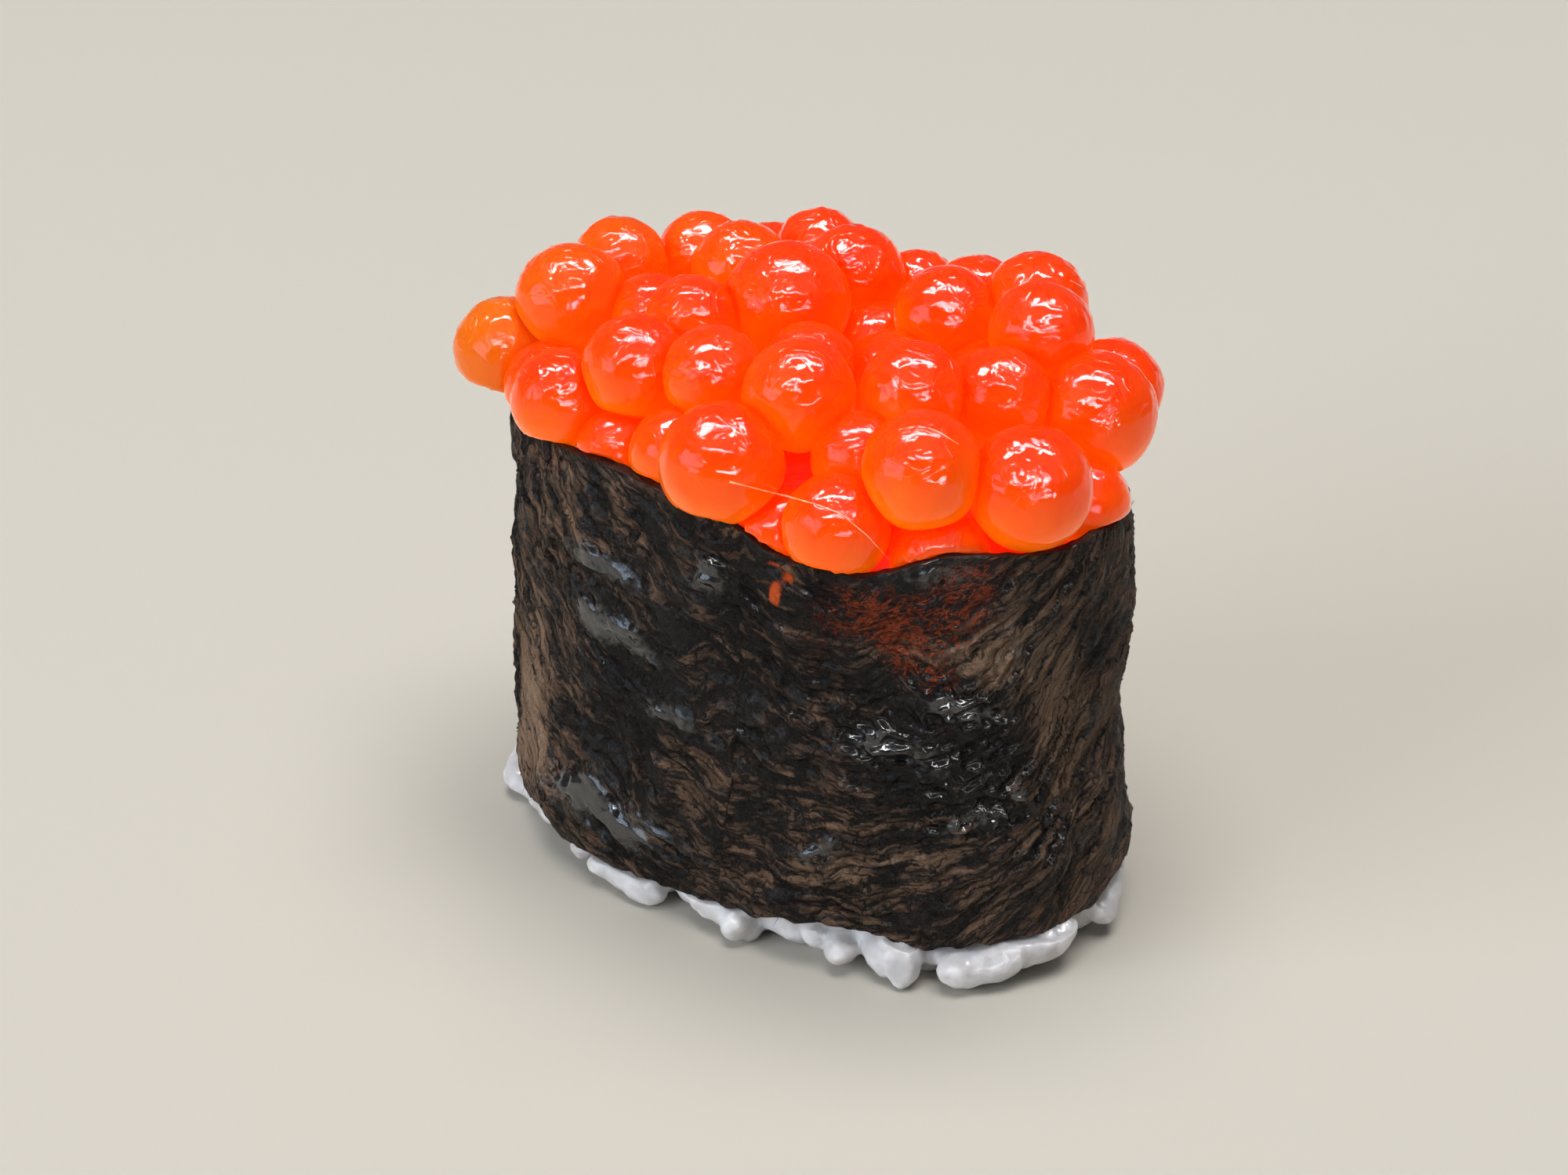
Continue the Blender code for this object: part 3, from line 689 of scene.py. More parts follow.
def nori_mesh(settings):
    """The strip as one closed ring, with its creases, its ragged edges and its marks."""
    outer, normals, fibre, inner = plain_strip()
    front = np.clip(normals @ direction(CAMERA_TURN, 0) * 6 + 0.6, 0, 1)
    pixels = photo_pixels(outer)

    swirl = 2.4 * noise_at(outer, 9.0, 4.0) + 0.9 * noise_at(outer, 3.2, 8.0)
    level = np.full(len(outer), 2.0)
    strand = np.stack((fibre[:, 0] / 4.5, (fibre[:, 1] + swirl) / 1.7, level), axis=1)
    fold = np.clip(1 - 2.6 * np.abs(noise_at(strand, 1.0)), 0, 1)
    finer = strand * np.array((1.7, 2.3, 1.0))
    ridge = np.clip(1 - 2.6 * np.abs(noise_at(finer, 1.0, 5.0)), 0, 1)
    thread = noise_at(finer * np.array((1.4, 2.0, 1.0)), 1.0, 9.0)
    crumpled = np.clip(0.48 + marks(pixels, front, NORI_CRUMPLES), 0, 1.2)
    shift = 0.5 * noise_at(outer, 2.0, 21.0)
    crumple = np.clip(1 - 3.0 * np.abs(noise_at(outer + shift[:, None], 1.5, 30.0)), 0, 1)
    warp = 14 * noise_at(outer, 2.6, 40.0), 14 * noise_at(outer, 2.6, 50.0)
    warped = pixels[0] + warp[0], pixels[1] + warp[1]
    # Where the photograph doesn't show the nori, its marks come from noise.
    unseen = 1 - front
    wet = np.clip(marks(warped, front, NORI_WET), 0, 1.2)
    wet += unseen * np.clip(2.4 * noise_at(outer, 5.0, 70.0) - 0.35, 0, 1)
    # The pale marks hold painted light at the wall's far left and right, as well as pale tone.
    pale = marks(warped, front, NORI_PALE_AND_PAINTED_LIGHT)
    pale += unseen * np.clip(1.6 * noise_at(outer, 8.0, 80.0), -0.6, 0.45)
    crumpled += unseen * np.clip(2.2 * noise_at(outer, 7.0, 90.0), 0, 0.8)
    blister = np.clip(noise_at(outer, 0.9, 60.0) + 0.1, 0, 1)
    relief = (
        0.34 * noise_at(outer, 4.6, 1.0)
        + 0.42 * fold * np.clip(0.7 + noise_at(outer, 7.0, 12.0), 0.1, 1.4)
        + 0.26 * ridge * crumpled
        + 0.08 * thread
        + 0.32 * crumple * crumpled
        + 0.07 * noise_at(outer, 0.8, 3.0)
        + 0.5 * blister * wet
        + marks(warped, front, NORI_FOLDS, 1.3)
        - 0.26
    ) * settings.relief
    # The two edges stay close to the plain strip, and nothing reaches the inner face.
    share = np.tile(np.arange(NORI_ROWS + 1) / NORI_ROWS, NORI_COLUMNS)
    calm = np.clip(np.minimum(share, 1 - share) * 14 + 0.35, 0, 1)
    relief = np.clip(relief * calm, *RELIEF_LIMITS)
    outer = outer + normals * relief[:, None]

    mesh = bpy.data.meshes.new("nori_wrap")
    everything = np.concatenate((outer, inner)) * MM
    mesh.from_pydata(everything.tolist(), [], strip_faces(len(inner) // NORI_COLUMNS))
    padding = np.zeros(len(inner))
    shown = {
        "stain": marks(warped, front, NORI_STAINS), "wet": wet, "pale": pale,
        "streak": marks(warped, front, NORI_ROE_STREAKS), "relief": relief,
    }
    for name, values in shown.items():
        set_attribute(mesh, name, np.concatenate((values, padding)))
    # The coordinates along and across the fibres, in decimetres.
    fibre[:, 1] += swirl
    flow = np.concatenate((fibre, np.zeros((len(inner), 2)))) / 100
    layer = mesh.uv_layers.new(name="fibres")
    corners = np.empty(len(mesh.loops), dtype=int)
    mesh.loops.foreach_get("vertex_index", corners)
    layer.data.foreach_set("uv", flow[corners].ravel())
    return mesh


def nori_material(settings):
    """Roasted seaweed: near black, fibrous, with brown thin places and wet creases."""
    surface = Surface("roasted_nori")
    flow = surface.node("ShaderNodeUVMap", {"uv_map": "fibres"}).scaled(100)
    place = surface.place
    broad = surface.noise(place, 8.0, 2.0)
    patches = surface.noise(flow.scaled(0.24, 0.55, 1.0), 1.0, 5.0, 0.62, 1.0)
    strands = surface.noise(flow.scaled(0.30, 1.9, 1.0), 1.0, 6.0, 0.68, 0.9)
    hairs = surface.noise(flow.scaled(0.8, 6.0, 1.0), 1.0, 4.0, 0.65, 1.6)
    pores = surface.noise(place, 0.5, 4.0, 0.65)
    stain, wet = surface.attribute("stain"), surface.attribute("wet")
    pale, streak = surface.attribute("pale"), surface.attribute("streak")
    relief = surface.attribute("relief")

    wobble = surface.node("ShaderNodeTexNoise", {}, {
        "Vector": place, "Scale": 0.9, "Detail": 3.0,
    }, output="Color")
    shaken = surface.node("ShaderNodeVectorMath", {"operation": "MULTIPLY_ADD"}, {
        0: wobble, 1: (2.0, 1.1, 0.0), 2: flow.scaled(0.42, 1.25, 1.0),
    })
    flakes = surface.node("ShaderNodeTexVoronoi", {"feature": "DISTANCE_TO_EDGE"}, {
        "Vector": shaken, "Scale": 1.0,
    }, output="Distance")
    cracked = 1 - flakes.step(0.0, 0.14)
    fibrous = strands * 0.8 + hairs * 0.5 - cracked * 0.3
    thin = (patches * 1.7 + broad * 0.6 + fibrous + pale * 0.4 - wet * 0.2).step(1.6, 2.2)
    colour = surface.mix(thin, (*settings.dark, 1), (*settings.brown, 1))
    # Pale includes painted light along the wall's far left and right, besides the nori's own pale
    # places.
    colour = surface.mix(pale * thin * 0.8, colour, (*settings.pale, 1))
    # The bluish colour, strongest in the wet places and pores, is a painted reflection of cool
    # light.
    cool = (wet * 0.6 + pores).step(0.75, 1.1) * 0.5
    colour = surface.mix(cool, colour, (*settings.cool, 1))
    blotches = surface.noise(place, 1.3, 4.0, 0.7, 0.8)
    stained = (stain * (blotches * 3.0 - 0.9)).step(0.2, 1.1)
    veins = 1.0 - abs(surface.noise(flow.scaled(0.5, 1.2, 1.0), 1.0, 3.0, 0.6, 2.0) - 0.5) * 16
    veined = (stain * (veins + blotches * 2.0 - 0.8)).step(0.35, 0.9)
    colour = surface.mix(stained, colour, (*settings.stain, 1))
    colour = surface.mix(veined * 0.45, colour, (*settings.streak, 1))
    dripped = (streak * (0.4 + hairs + pores * 0.3)).step(0.45, 0.8)
    colour = surface.mix(dripped, colour, (*settings.streak, 1))

    ridges = surface.noise(flow.scaled(0.35, 1.5, 1.0), 1.0, 4.0, 0.6, 1.4)
    crease = 1 - abs(ridges - 0.5) * 5
    normal = surface.bump(crease, 0.3)
    normal = surface.bump(strands, 0.6, normal)
    normal = surface.bump(hairs, 0.3, normal)
    normal = surface.bump(pores, 0.2, normal)
    normal = surface.bump(flakes.step(0.0, 0.3), 0.14, normal)
    glossy = (wet * 0.8 + relief * 0.4 + (0.6 - thin) + (pores - 0.5) * 1.2).step(0.1, 0.9)
    rough = 0.6 - glossy * 0.5
    moist = (wet * 0.9 + (pores - 0.5) * 1.6 + relief * 0.5).step(0.3, 0.95)
    return surface.shaded({
        "Base Color": colour, "Roughness": rough, "IOR": 1.45, "Specular IOR Level": 0.17,
        "Normal": normal, "Coat Weight": moist + (glossy - moist) * 0.1,
        "Coat Roughness": 0.12, "Coat IOR": 1.75,
    })


# ---------------------------------------------------------------- rice


def grain_point(place, heading, dip, roll, size=1.0):
    return {"place": place, "turn": (roll, dip, heading), "size": size}


def grain_from_tip(angle, reach, low, turn, dip, roll, size):
    """A grain whose outer tip is given, by the angle round the oval and its reach."""
    foot, outward = oval(angle, RIM_LEVEL - BAND_HEIGHT)
    tip = foot + outward * reach
    heading = math.atan2(outward.y, outward.x) + turn
    half = GRAIN_LENGTH * size / 2
    middle = Vector((
        tip.x - half * math.cos(dip) * math.cos(heading),
        tip.y - half * math.cos(dip) * math.sin(heading),
        low + half * math.sin(dip),
    ))
    return grain_point(middle, heading, dip, roll, size)


def foot_grains():
    """The grains that peep out below the nori: the ones in front, and a rule for the rest."""
    draw = random.Random(RICE_SEED)
    made = []
    for angle, reach, low, turn, dip in FRONT_GRAINS:
        roll = draw.uniform(0, math.tau)
        size = draw.uniform(*FRONT_GRAIN_SIZES)
        angle, turn, dip = math.radians(angle), math.radians(turn), math.radians(dip)
        made.append(grain_from_tip(angle, reach, low, turn, dip, roll, size))
    for number in range(HIDDEN_GRAINS):
        share = (number + draw.uniform(-0.2, 0.2)) / (HIDDEN_GRAINS - 1)
        angle = HIDDEN_START + (HIDDEN_END - HIDDEN_START) * share
        limits = LYING_GRAIN if number % 3 == 0 else POINTING_GRAIN
        reach, low, turn, dip = (draw.uniform(*pair) for pair in limits)
        turn *= draw.choice((-1, 1))
        roll = draw.uniform(0, math.tau)
        size = draw.uniform(*HIDDEN_GRAIN_SIZES)
        made.append(grain_from_tip(angle, reach, low, turn, dip, roll, size))
    return made


def underside_grains():
    """Grains pressed flat underneath, on a staggered grid, with one at the origin."""
    draw = random.Random(RICE_SEED + 1)
    made = [grain_point(Vector((0, 0, UNDERSIDE_LEVEL)), 0.3, 0.0, 0.0)]
    rows = int(HALF_WIDTH / UNDERSIDE_PITCH) + 1
    columns = int(HALF_LENGTH / UNDERSIDE_PITCH) + 1
    for row in range(-rows, rows + 1):
        for column in range(-columns, columns + 1):
            place = Vector((
                (column + 0.5 * (row % 2)) * UNDERSIDE_PITCH,
                row * UNDERSIDE_PITCH * 0.8,
                UNDERSIDE_LEVEL + draw.uniform(-0.1, 0.1),
            ))
            heading = draw.uniform(0, math.pi)
            roll = draw.uniform(0, math.tau)
            if inside_share(place) < 0.8 and place.xy.length > GRAIN_WIDTH:
                made.append(grain_point(place, heading, 0.0, roll))
    return made


def filling_grains(settings):
    """More grains behind and between the others, so that no plain block shows."""
    draw = random.Random(RICE_SEED + 2)
    made = []
    for number in range(settings.edge_grains):
        angle = math.tau * (number + draw.uniform(-0.3, 0.3)) / settings.edge_grains
        reach, low = draw.uniform(-2.6, -0.8), draw.uniform(0.8, 3.2)
        turn, dip = draw.uniform(-1.5, 1.5), draw.uniform(-0.3, 0.5)
        made.append(grain_from_tip(angle, reach, low, turn, dip, draw.uniform(0, 6), 0.95))
    for _ in range(settings.underside_grains):
        place = Vector((
            draw.uniform(-HALF_LENGTH, HALF_LENGTH), draw.uniform(-HALF_WIDTH, HALF_WIDTH),
            draw.uniform(0.95, 1.5),
        ))
        heading, roll = draw.uniform(0, math.pi), draw.uniform(0, math.tau)
        if inside_share(place) < 0.88:
            made.append(grain_point(place, heading, draw.uniform(-0.12, 0.12), roll, 0.97))
    return made


def grain_shape(graph, given):
    """One plump cooked grain along X: blunt, a little bent, and slimmer at one end."""
    ball = graph.node("GeometryNodeMeshUVSphere", {}, {
        "Segments": given["Around"], "Rings": given["Along"], "Radius": 1.0,
    })
    seat = graph.node("GeometryNodeInputPosition")
    parts = graph.tree.nodes.new("ShaderNodeSeparateXYZ")
    graph.tree.links.new(seat.socket, parts.inputs[0])
    # The ball's poles lie on its Z axis, which becomes the grain's length.
    across, flat, along = (Value(graph, output) for output in parts.outputs)
    plump = (1 + along * along * 0.3) * (1 - along * 0.1)
    bent = along * along * given["Bend"]
    moved = graph.node("ShaderNodeCombineXYZ", {}, {
        "X": along * (GRAIN_LENGTH / 2 * MM),
        "Y": across * plump * (GRAIN_WIDTH / 2 * MM),
        "Z": flat * plump * (GRAIN_WIDTH / 2 * GRAIN_FLATNESS * MM) - bent * MM,
    })
    shaped = graph.node("GeometryNodeSetPosition", {}, {"Geometry": ball, "Position": moved})
    return shaped


def melted(name, mesh, width):
    """The mesh's bodies run together under one soft skin, whose faces are this wide."""
    carrier = new_object(name + "_carrier", mesh)
    melt = carrier.modifiers.new("melt", "REMESH")
    melt.mode = "VOXEL"
    melt.voxel_size = width * MM
    soften = carrier.modifiers.new("soften", "SMOOTH")
    soften.factor = 0.5
    soften.iterations = 2
    return finished_mesh(carrier)


def rice_mesh(settings):
    grains = foot_grains() + underside_grains() + filling_grains(settings)
    mesh = scattered("rice_grains", grains, grain_shape, {"Around": 18, "Along": 14, "Bend": 0.45})
    foot = ((0.90, RICE_FOOT + 0.5), (0.94, RICE_FOOT + 1.5), (0.975, RICE_FOOT + 3), (0.985, 6.5))
    mesh = melted("rice_bed", joined_mesh("rice_foot", mesh, *core(foot)), RICE_FACE)
    places = places_of(mesh)
    normals = np.empty(len(mesh.vertices) * 3)
    mesh.vertices.foreach_get("normal", normals)
    uneven = 0.22 * noise_at(places, 1.7, 2.0) + 0.12 * noise_at(places, 0.75, 6.0)
    places += normals.reshape(-1, 3) * (uneven * settings.unevenness)[:, None]
    # Grains that meet the nori give way downward or inward, and the lowest are pressed flat.
    side = WallSide(places)
    clear = NORI_THICK / 2 + RICE_CLEARANCE
    inward = side.beyond + clear
    down = places[:, 2] - (side.foot - 0.1)
    held = (inward > 0) & (down > 0) & (side.beyond < clear + 1.5)
    lower = held & (down < inward) & (down < 0.8)
    places[lower, 2] -= down[lower]
    inner = held & ~lower
    places[inner] -= side.outward[inner] * inward[inner, None]
    places[:, 2] = np.maximum(places[:, 2], 0.02 + 0.02 * np.sin(places[:, 0] * 3))
    lowest, highest = (np.array(corner) / MM for corner in CAD_BOX)
    set_places(mesh, np.clip(places, lowest, highest))
    block = ((1.0, 5.5), (1.0, 9.0), (1.0, 14.0), (1.0, 19.0), (1.0, RICE_TOP))
    return joined_mesh("rice_bed", mesh, *core(block))


def rice_material(settings):
    """Cooked short-grain rice: milky, a little clear at the edges, and moist."""
    surface = Surface("cooked_rice")
    place = surface.place
    cloudy = surface.noise(place, 1.6, 2.0)
    fine = surface.noise(place, 0.35, 3.0, 0.6)
    colour = surface.mix(cloudy.step(0.35, 0.7), (*settings.clear, 1), (*settings.milky, 1))
    normal = surface.bump(fine, 0.05)
    normal = surface.bump(cloudy, 0.12, normal)
    return surface.shaded({
        "Base Color": colour, "Roughness": 0.28 + fine * 0.15, "IOR": 1.4, "Normal": normal,
        "Subsurface Weight": 1.0, "Subsurface Radius": (1.0, 0.9, 0.8),
        "Subsurface Scale": 1.3 * MM, "Coat Weight": 0.25, "Coat Roughness": 0.15,
    })


# ---------------------------------------------------------------- roe


def heap_height(share):
    """The height of the upper pearls' middles, by the share of the way to the wall."""
    lowest = HEAP_EDGE + PEARL_LARGE / 2
    return lowest + (HEAP_TOP - lowest) * (1 - share**4)


def fill_layer(pearls, sunk, squeeze, draw):
    """Adds pearls in the free places of one layer, always where they fit most snugly."""
    places = []
    steps_along = int(HALF_LENGTH / FILL_STEP)
    steps_across = int(HALF_WIDTH / FILL_STEP)
    for row in range(-steps_across, steps_across + 1):
        for column in range(-steps_along, steps_along + 1):
            place = Vector((column * FILL_STEP, row * FILL_STEP, RICE_TOP))
            share = inside_share(place)
            if share < FILL_WIDEST:
                place.z = heap_height(share) - sunk
                places.append(place)
    while places:
        radius = draw.uniform(PEARL_SMALL, PEARL_LARGE) / 2
        gaps = [
            sorted((place - other).length - squeeze * (radius + size)
                   for other, size in pearls)[:3]
            for place in places
        ]
        places = [place for place, gap in zip(places, gaps) if gap[0] > 0]
        gaps = [gap for gap in gaps if gap[0] > 0]
        if places:
            snug = min(range(len(places)), key=lambda number: sum(gaps[number]))
            pearls.append((places[snug], radius))


def filled_heap():
    """The front pearls, the others of the upper layer by rule, and those in the gaps."""
    draw = random.Random(ROE_SEED)
    pearls = [(Vector(row[:3]), row[3] / 2) for row in FRONT_PEARLS]
    fill_layer(pearls, 0.0, UPPER_FILL, draw)
    fill_layer(pearls, LAYER_DEPTH, LOWER_FILL, draw)
    return pearls


def push_off_rim(place, reach, rim):
    """Moves a pearl's middle out of reach of the nori's edge, or of its wall if it is lower."""
    nearest = min(rim, key=lambda point: (point.xy - place.xy).length)
    away = place - nearest
    away.z = max(away.z, 0.0)
    if inside_share(place) > 1 and away.z == 0:
        away = -away
    if away.length < reach:
        place += away.normalized() * (reach - away.length)


def settled(pearls):
    """The pearls after they have pushed each other and the nori's rim apart."""
    places = [place.copy() for place, _ in pearls]
    sizes = [radius for _, radius in pearls]
    gives = [FRONT_GIVES if number < len(FRONT_PEARLS) else 1.0 for number in range(len(pearls))]
    reaches = [
        radius * (FRONT_RIM_SQUEEZE if number < len(FRONT_PEARLS) else RIM_SQUEEZE)
        for number, radius in enumerate(sizes)
    ]
    rim = []
    for number in range(RIM_POINTS):
        angle = math.tau * number / RIM_POINTS
        point, outward = oval(angle, rim_height(angle))
        rim.append(point - outward * NORI_THICK / 2)
    for _ in range(SETTLING_ROUNDS):
        for first in range(len(places)):
            for second in range(first + 1, len(places)):
                away = places[second] - places[first]
                short = PEARL_SQUEEZE * (sizes[first] + sizes[second]) - away.length
                if short > 0:
                    push = away.normalized() * short / (gives[first] + gives[second])
                    places[first] -= push * gives[first] * 0.5
                    places[second] += push * gives[second] * 0.5
            push_off_rim(places[first], reaches[first], rim)
        for place, (seat, _) in zip(places, pearls):
            place += (seat - place) * SEAT_PULL
    return list(zip(places, sizes))


def swollen(pearls, settings):
    """The pearls a little larger, so that they press flat on each other, kept in their box."""
    lowest, highest = (Vector(corner) / MM for corner in CAD_BOX)
    made = []
    for middle, radius in pearls:
        radius *= settings.swell
        kept = (max(low + radius, min(high - radius, value))
                for value, low, high in zip(middle, lowest, highest))
        made.append((Vector(kept), radius))
    return made


def pearl_shape(graph, given):
    return graph.node("GeometryNodeMeshIcoSphere", {}, {
        "Radius": 1.0 * MM, "Subdivisions": given["Subdivisions"],
    })


def squashed(places, number, pearls, settings):
    """Flattens pearls where they touch, and gives each its own unevenness and fine folds."""
    up = np.zeros(len(places))
    middles = np.array([middle for middle, _ in pearls])
    radii = np.array([radius for _, radius in pearls])
    for index, (middle, radius) in enumerate(zip(middles, radii)):
        mine = number == index
        rays = places[mine] - middle
        rays /= np.linalg.norm(rays, axis=1)[:, None]
        power = np.full(len(rays), radius ** -CONTACT_POWER)
        for other, other_radius in zip(middles, radii):
            away = other - middle
            apart = np.linalg.norm(away)
            if 0 < apart < radius + other_radius:
                plane = (apart**2 + radius**2 - other_radius**2) / (2 * apart)
                plane = max(plane - CONTACT_GAP, 0.3 * radius)
                facing = rays @ (away / apart)
                ahead = facing > 0.05
                power[ahead] += (plane / facing[ahead]) ** -CONTACT_POWER
        reach = power ** (-1 / CONTACT_POWER)
        reach *= 1 + settings.unevenness * noise_at(rays, 0.9, index * 3.1)
        skin = middle + rays * radius
        patchy = np.clip(0.75 + 1.6 * noise_at(skin, 2.6, 11.0), 0.1, 1.3)
        patchy *= np.clip(0.5 + rays[:, 2], 0.15, 1)
        shift = 0.5 * noise_at(skin, 1.3, 17.0)
        fold = np.clip(1 - 3.2 * np.abs(noise_at(skin + shift[:, None], 1.25, 4.4)), 0, 1)
        reach += (fold + 0.35 * noise_at(skin, 0.6, 7.7)) * patchy * settings.fold / MM
        places[mine] = middle + rays * reach[:, None]
        up[mine] = rays[:, 2]
    return places, up


def settled_on_nori(places):
    """Pushes the pearls' sides inside the nori's wall, and rests their bulges on its edge."""
    side = WallSide(places)
    above = np.maximum(0, places[:, 2] - side.rim - 0.1)
    limit = BULGE_SLOPE * above - NORI_THICK / 2 - ROE_CLEARANCE
    over = np.maximum(0, side.beyond - limit)
    lowest, highest = (np.array(corner) / MM for corner in CAD_BOX)
    return np.clip(places - side.outward * over[:, None], lowest, highest)


def roe_mesh(pearls, settings):
    """All the pearls as one mesh, and the mound under them that fills the gaps."""
    rows = [
        {"place": middle, "turn": (0, 0, 0), "size": radius, "number": number}
        for number, (middle, radius) in enumerate(pearls)
    ]
    deep = [middle.z < heap_height(inside_share(middle)) - LAYER_DEPTH / 2 for middle, _ in pearls]
    bm = bmesh.new()
    for low, level in zip((False, True), PEARL_DETAIL):
        layer = [row for row, sunk in zip(rows, deep) if sunk == low]
        bm.from_mesh(scattered("roe_pearls", layer, pearl_shape, {"Subdivisions": level}))
    mesh = bpy.data.meshes.new("roe_pearls")
    bm.to_mesh(mesh)
    bm.free()
    number = np.empty(len(mesh.vertices))
    mesh.attributes["number"].data.foreach_get("value", number)
    number = np.rint(number).astype(int)
    places, up = squashed(places_of(mesh), number, pearls, settings)
    set_places(mesh, settled_on_nori(places))
    amber = np.array([*AMBER_PEARLS, *(0.0 for _ in pearls[len(AMBER_PEARLS):])])
    draw = random.Random(ROE_SEED + 1)
    tint = np.array([draw.uniform(-1, 1) for _ in pearls])
    set_attribute(mesh, "up", up)
    set_attribute(mesh, "amber", amber[number])
    set_attribute(mesh, "tint", tint[number])
    rings = [(1.0, RICE_TOP + GAP), (1.0, (RICE_TOP + HEAP_EDGE) / 2), (1.0, HEAP_EDGE - 2)]
    for share in MOUND_SHARES:
        rings.append((share, HEAP_EDGE + HEAP_RISE * (1 - share**3) - MOUND_DROP))
    whole = joined_mesh("roe_heap", mesh, *core(rings))
    set_attribute(whole, "sunk", np.arange(len(whole.vertices)) >= len(mesh.vertices))
    return whole


def roe_material(settings):
    """Orange roe in a wet skin: redder on top and more yellow underneath, which is painted light,
    and with a painted glow as if lit through.

    The skin has fine creases that break up the light.
    """
    surface = Surface("salmon_roe")
    place = surface.place
    sunk, amber, tint = (surface.attribute(name) for name in ("sunk", "amber", "tint"))
    # The mound in the gaps takes the tops' deep red and their weaker glow, as painted shade
    # between the pearls, and is dull.
    up = surface.attribute("up") + sunk * 1.2
    cloudy = surface.noise(place, 3.2, 2.0)
    # The colour runs from red on top to a lighter, more yellow orange underneath, by the height on
    # each pearl: painted light, as if light came through and gathered underneath. The cloudy noise
    # and the tint are the pearls' own tone.
    redness_and_painted_underlight = (up * 0.8 + (cloudy - 0.5) * 0.9 + tint * 0.12).step(-0.7, 0.9)
    colour = surface.mix(redness_and_painted_underlight, (*settings.bottom, 1), (*settings.top, 1))
    colour = surface.mix(amber * 0.9, colour, (*settings.amber, 1))
    patchy = (up + (surface.noise(place, 2.2) - 0.5) * 2.2).step(-0.1, 0.9)
    line = surface.noise(place, 2.0, 2.0, 0.5, 1.2)
    crease = (1 - abs(line - 0.5) * 8).step(0.0, 1.0)
    fine = surface.noise(place, 0.7, 2.0, 0.5, 0.6)
    folds = (crease * 0.6 + fine * 0.5) * (patchy * 0.9 + 0.1)
    normal = surface.bump(folds, settings.crease / MM, surface.bump(cloudy, 0.25))
    # A painted glow: the pearls give off light of their own, strongest underneath, in place of the
    # light that comes through them.
    painted_glow_colour = surface.mix(up.step(-0.9, 0.5) * 0.55, colour, (0.0, 0.0, 0.0, 1))
    return surface.shaded({
        "Base Color": colour, "Roughness": sunk * 0.6 + 0.05, "IOR": 1.33, "Normal": normal,
        "Subsurface Weight": 1.0, "Subsurface Radius": (1.0, 0.35, 0.1),
        "Subsurface Scale": 2.5 * MM,
        "Coat Weight": 0.5 - sunk * 0.5, "Coat Roughness": 0.02, "Coat IOR": 1.3,
        "Emission Color": painted_glow_colour, "Emission Strength": settings.glow,
    })


# ---------------------------------------------------------------- threads and fibres


# Threads of membrane over the pearls, in the photograph's pixels, with their thickness there
# against the setting.
MEMBRANES = (
    ((930, 615, 2.6), (966, 624, 1.0), (1003, 633, 2.4), (1040, 643, 1.0), (1072, 655, 1.6),
     (1106, 683, 0.9), (1134, 714, 0.8)),
    ((1184, 545, 1.0), (1200, 552, 1.4), (1222, 566, 0.8)),
    ((1364, 356, 1.2), (1378, 364, 1.8), (1386, 371, 0.9)),
    ((902, 704, 1.4), (916, 690, 1.0), (930, 676, 0.9)),
)
# The short steps between two stops of a thread, and how far it lies above the pearls.
THREAD_STEPS = 8
THREAD_LIFT = 0.05


def seen_place(across, down, depth):
    """The place behind a pixel of the photograph, at a distance from the camera's plane."""
    slant = RIGHT * (across - PHOTO_MIDDLE[0]) - UP * (down - PHOTO_MIDDLE[1])
    return CAMERA_CENTRE + Vector(BACK * (CAMERA_DISTANCE - depth) + slant * depth / PIXELS)


def membrane_mesh(settings):
    """Fine threads that lie on the pearls and hang straight across the gaps between them."""
    heap = bpy.data.objects["roe_heap"].data
    tree = BVHTree.FromPolygons(
        [vertex.co / MM for vertex in heap.vertices],
        [tuple(face.vertices) for face in heap.polygons],
    )

    def depth_of(across, down):
        start = seen_place(across, down, 200)
        way = seen_place(across, down, 400) - start
        hit, _, _, reach = tree.ray_cast(start, way.normalized())
        return 200 + 200 * reach / way.length if hit else None

    curve = bpy.data.curves.new("roe_membranes", "CURVE")
    curve.dimensions = "3D"
    curve.bevel_depth = settings.thickness
    curve.bevel_resolution = 2
    curve.use_fill_caps = True
    for path in MEMBRANES:
        stops = [(x, y, wide, depth_of(x, y)) for x, y, wide in path]
        stops = [stop for stop in stops if stop[3] is not None]
        points = []
        for first, second in zip(stops, stops[1:]):
            for step in range(THREAD_STEPS):
                share = step / THREAD_STEPS
                x, y, wide, depth = (a + (b - a) * share for a, b in zip(first, second))
                nearest = min(depth, depth_of(x, y) or depth)
                points.append((seen_place(x, y, nearest - THREAD_LIFT), wide))
        x, y, wide, depth = stops[-1]
        points.append((seen_place(x, y, depth - THREAD_LIFT), wide))
        spline = curve.splines.new("POLY")
        spline.points.add(len(points) - 1)
        for point, (place, wide) in zip(spline.points, points):
            point.co = (*(place * MM), 1)
            point.radius = wide
    return finished_mesh(new_object("roe_membranes_carrier", curve))


def membrane_material(settings):
    """Wet, pale orange skin left on the roe, with a faint painted glow."""
    surface = Surface("roe_membrane")
    cloudy = surface.noise(surface.place, 0.8)
    colour = surface.mix(cloudy.step(0.35, 0.65), (*settings.colour, 1), (1.0, 0.62, 0.36, 1))
    return surface.shaded({
        "Base Color": colour, "Roughness": 0.2, "Subsurface Weight": 0.5,
        "Subsurface Radius": (1.0, 0.5, 0.2), "Subsurface Scale": 0.3 * MM,
        # The emission is a painted glow: the membrane gives off a little light of its own.
        "Emission Color": colour, "Emission Strength": 0.1, "Coat Weight": 0.6,
    })


def fibre_shape(graph, given):
    return graph.node("GeometryNodeMeshCone", {}, {
        "Vertices": 5, "Radius Top": given["Thickness"] * 0.3, "Radius Bottom": given["Thickness"],
        "Depth": given["Length"],
    })


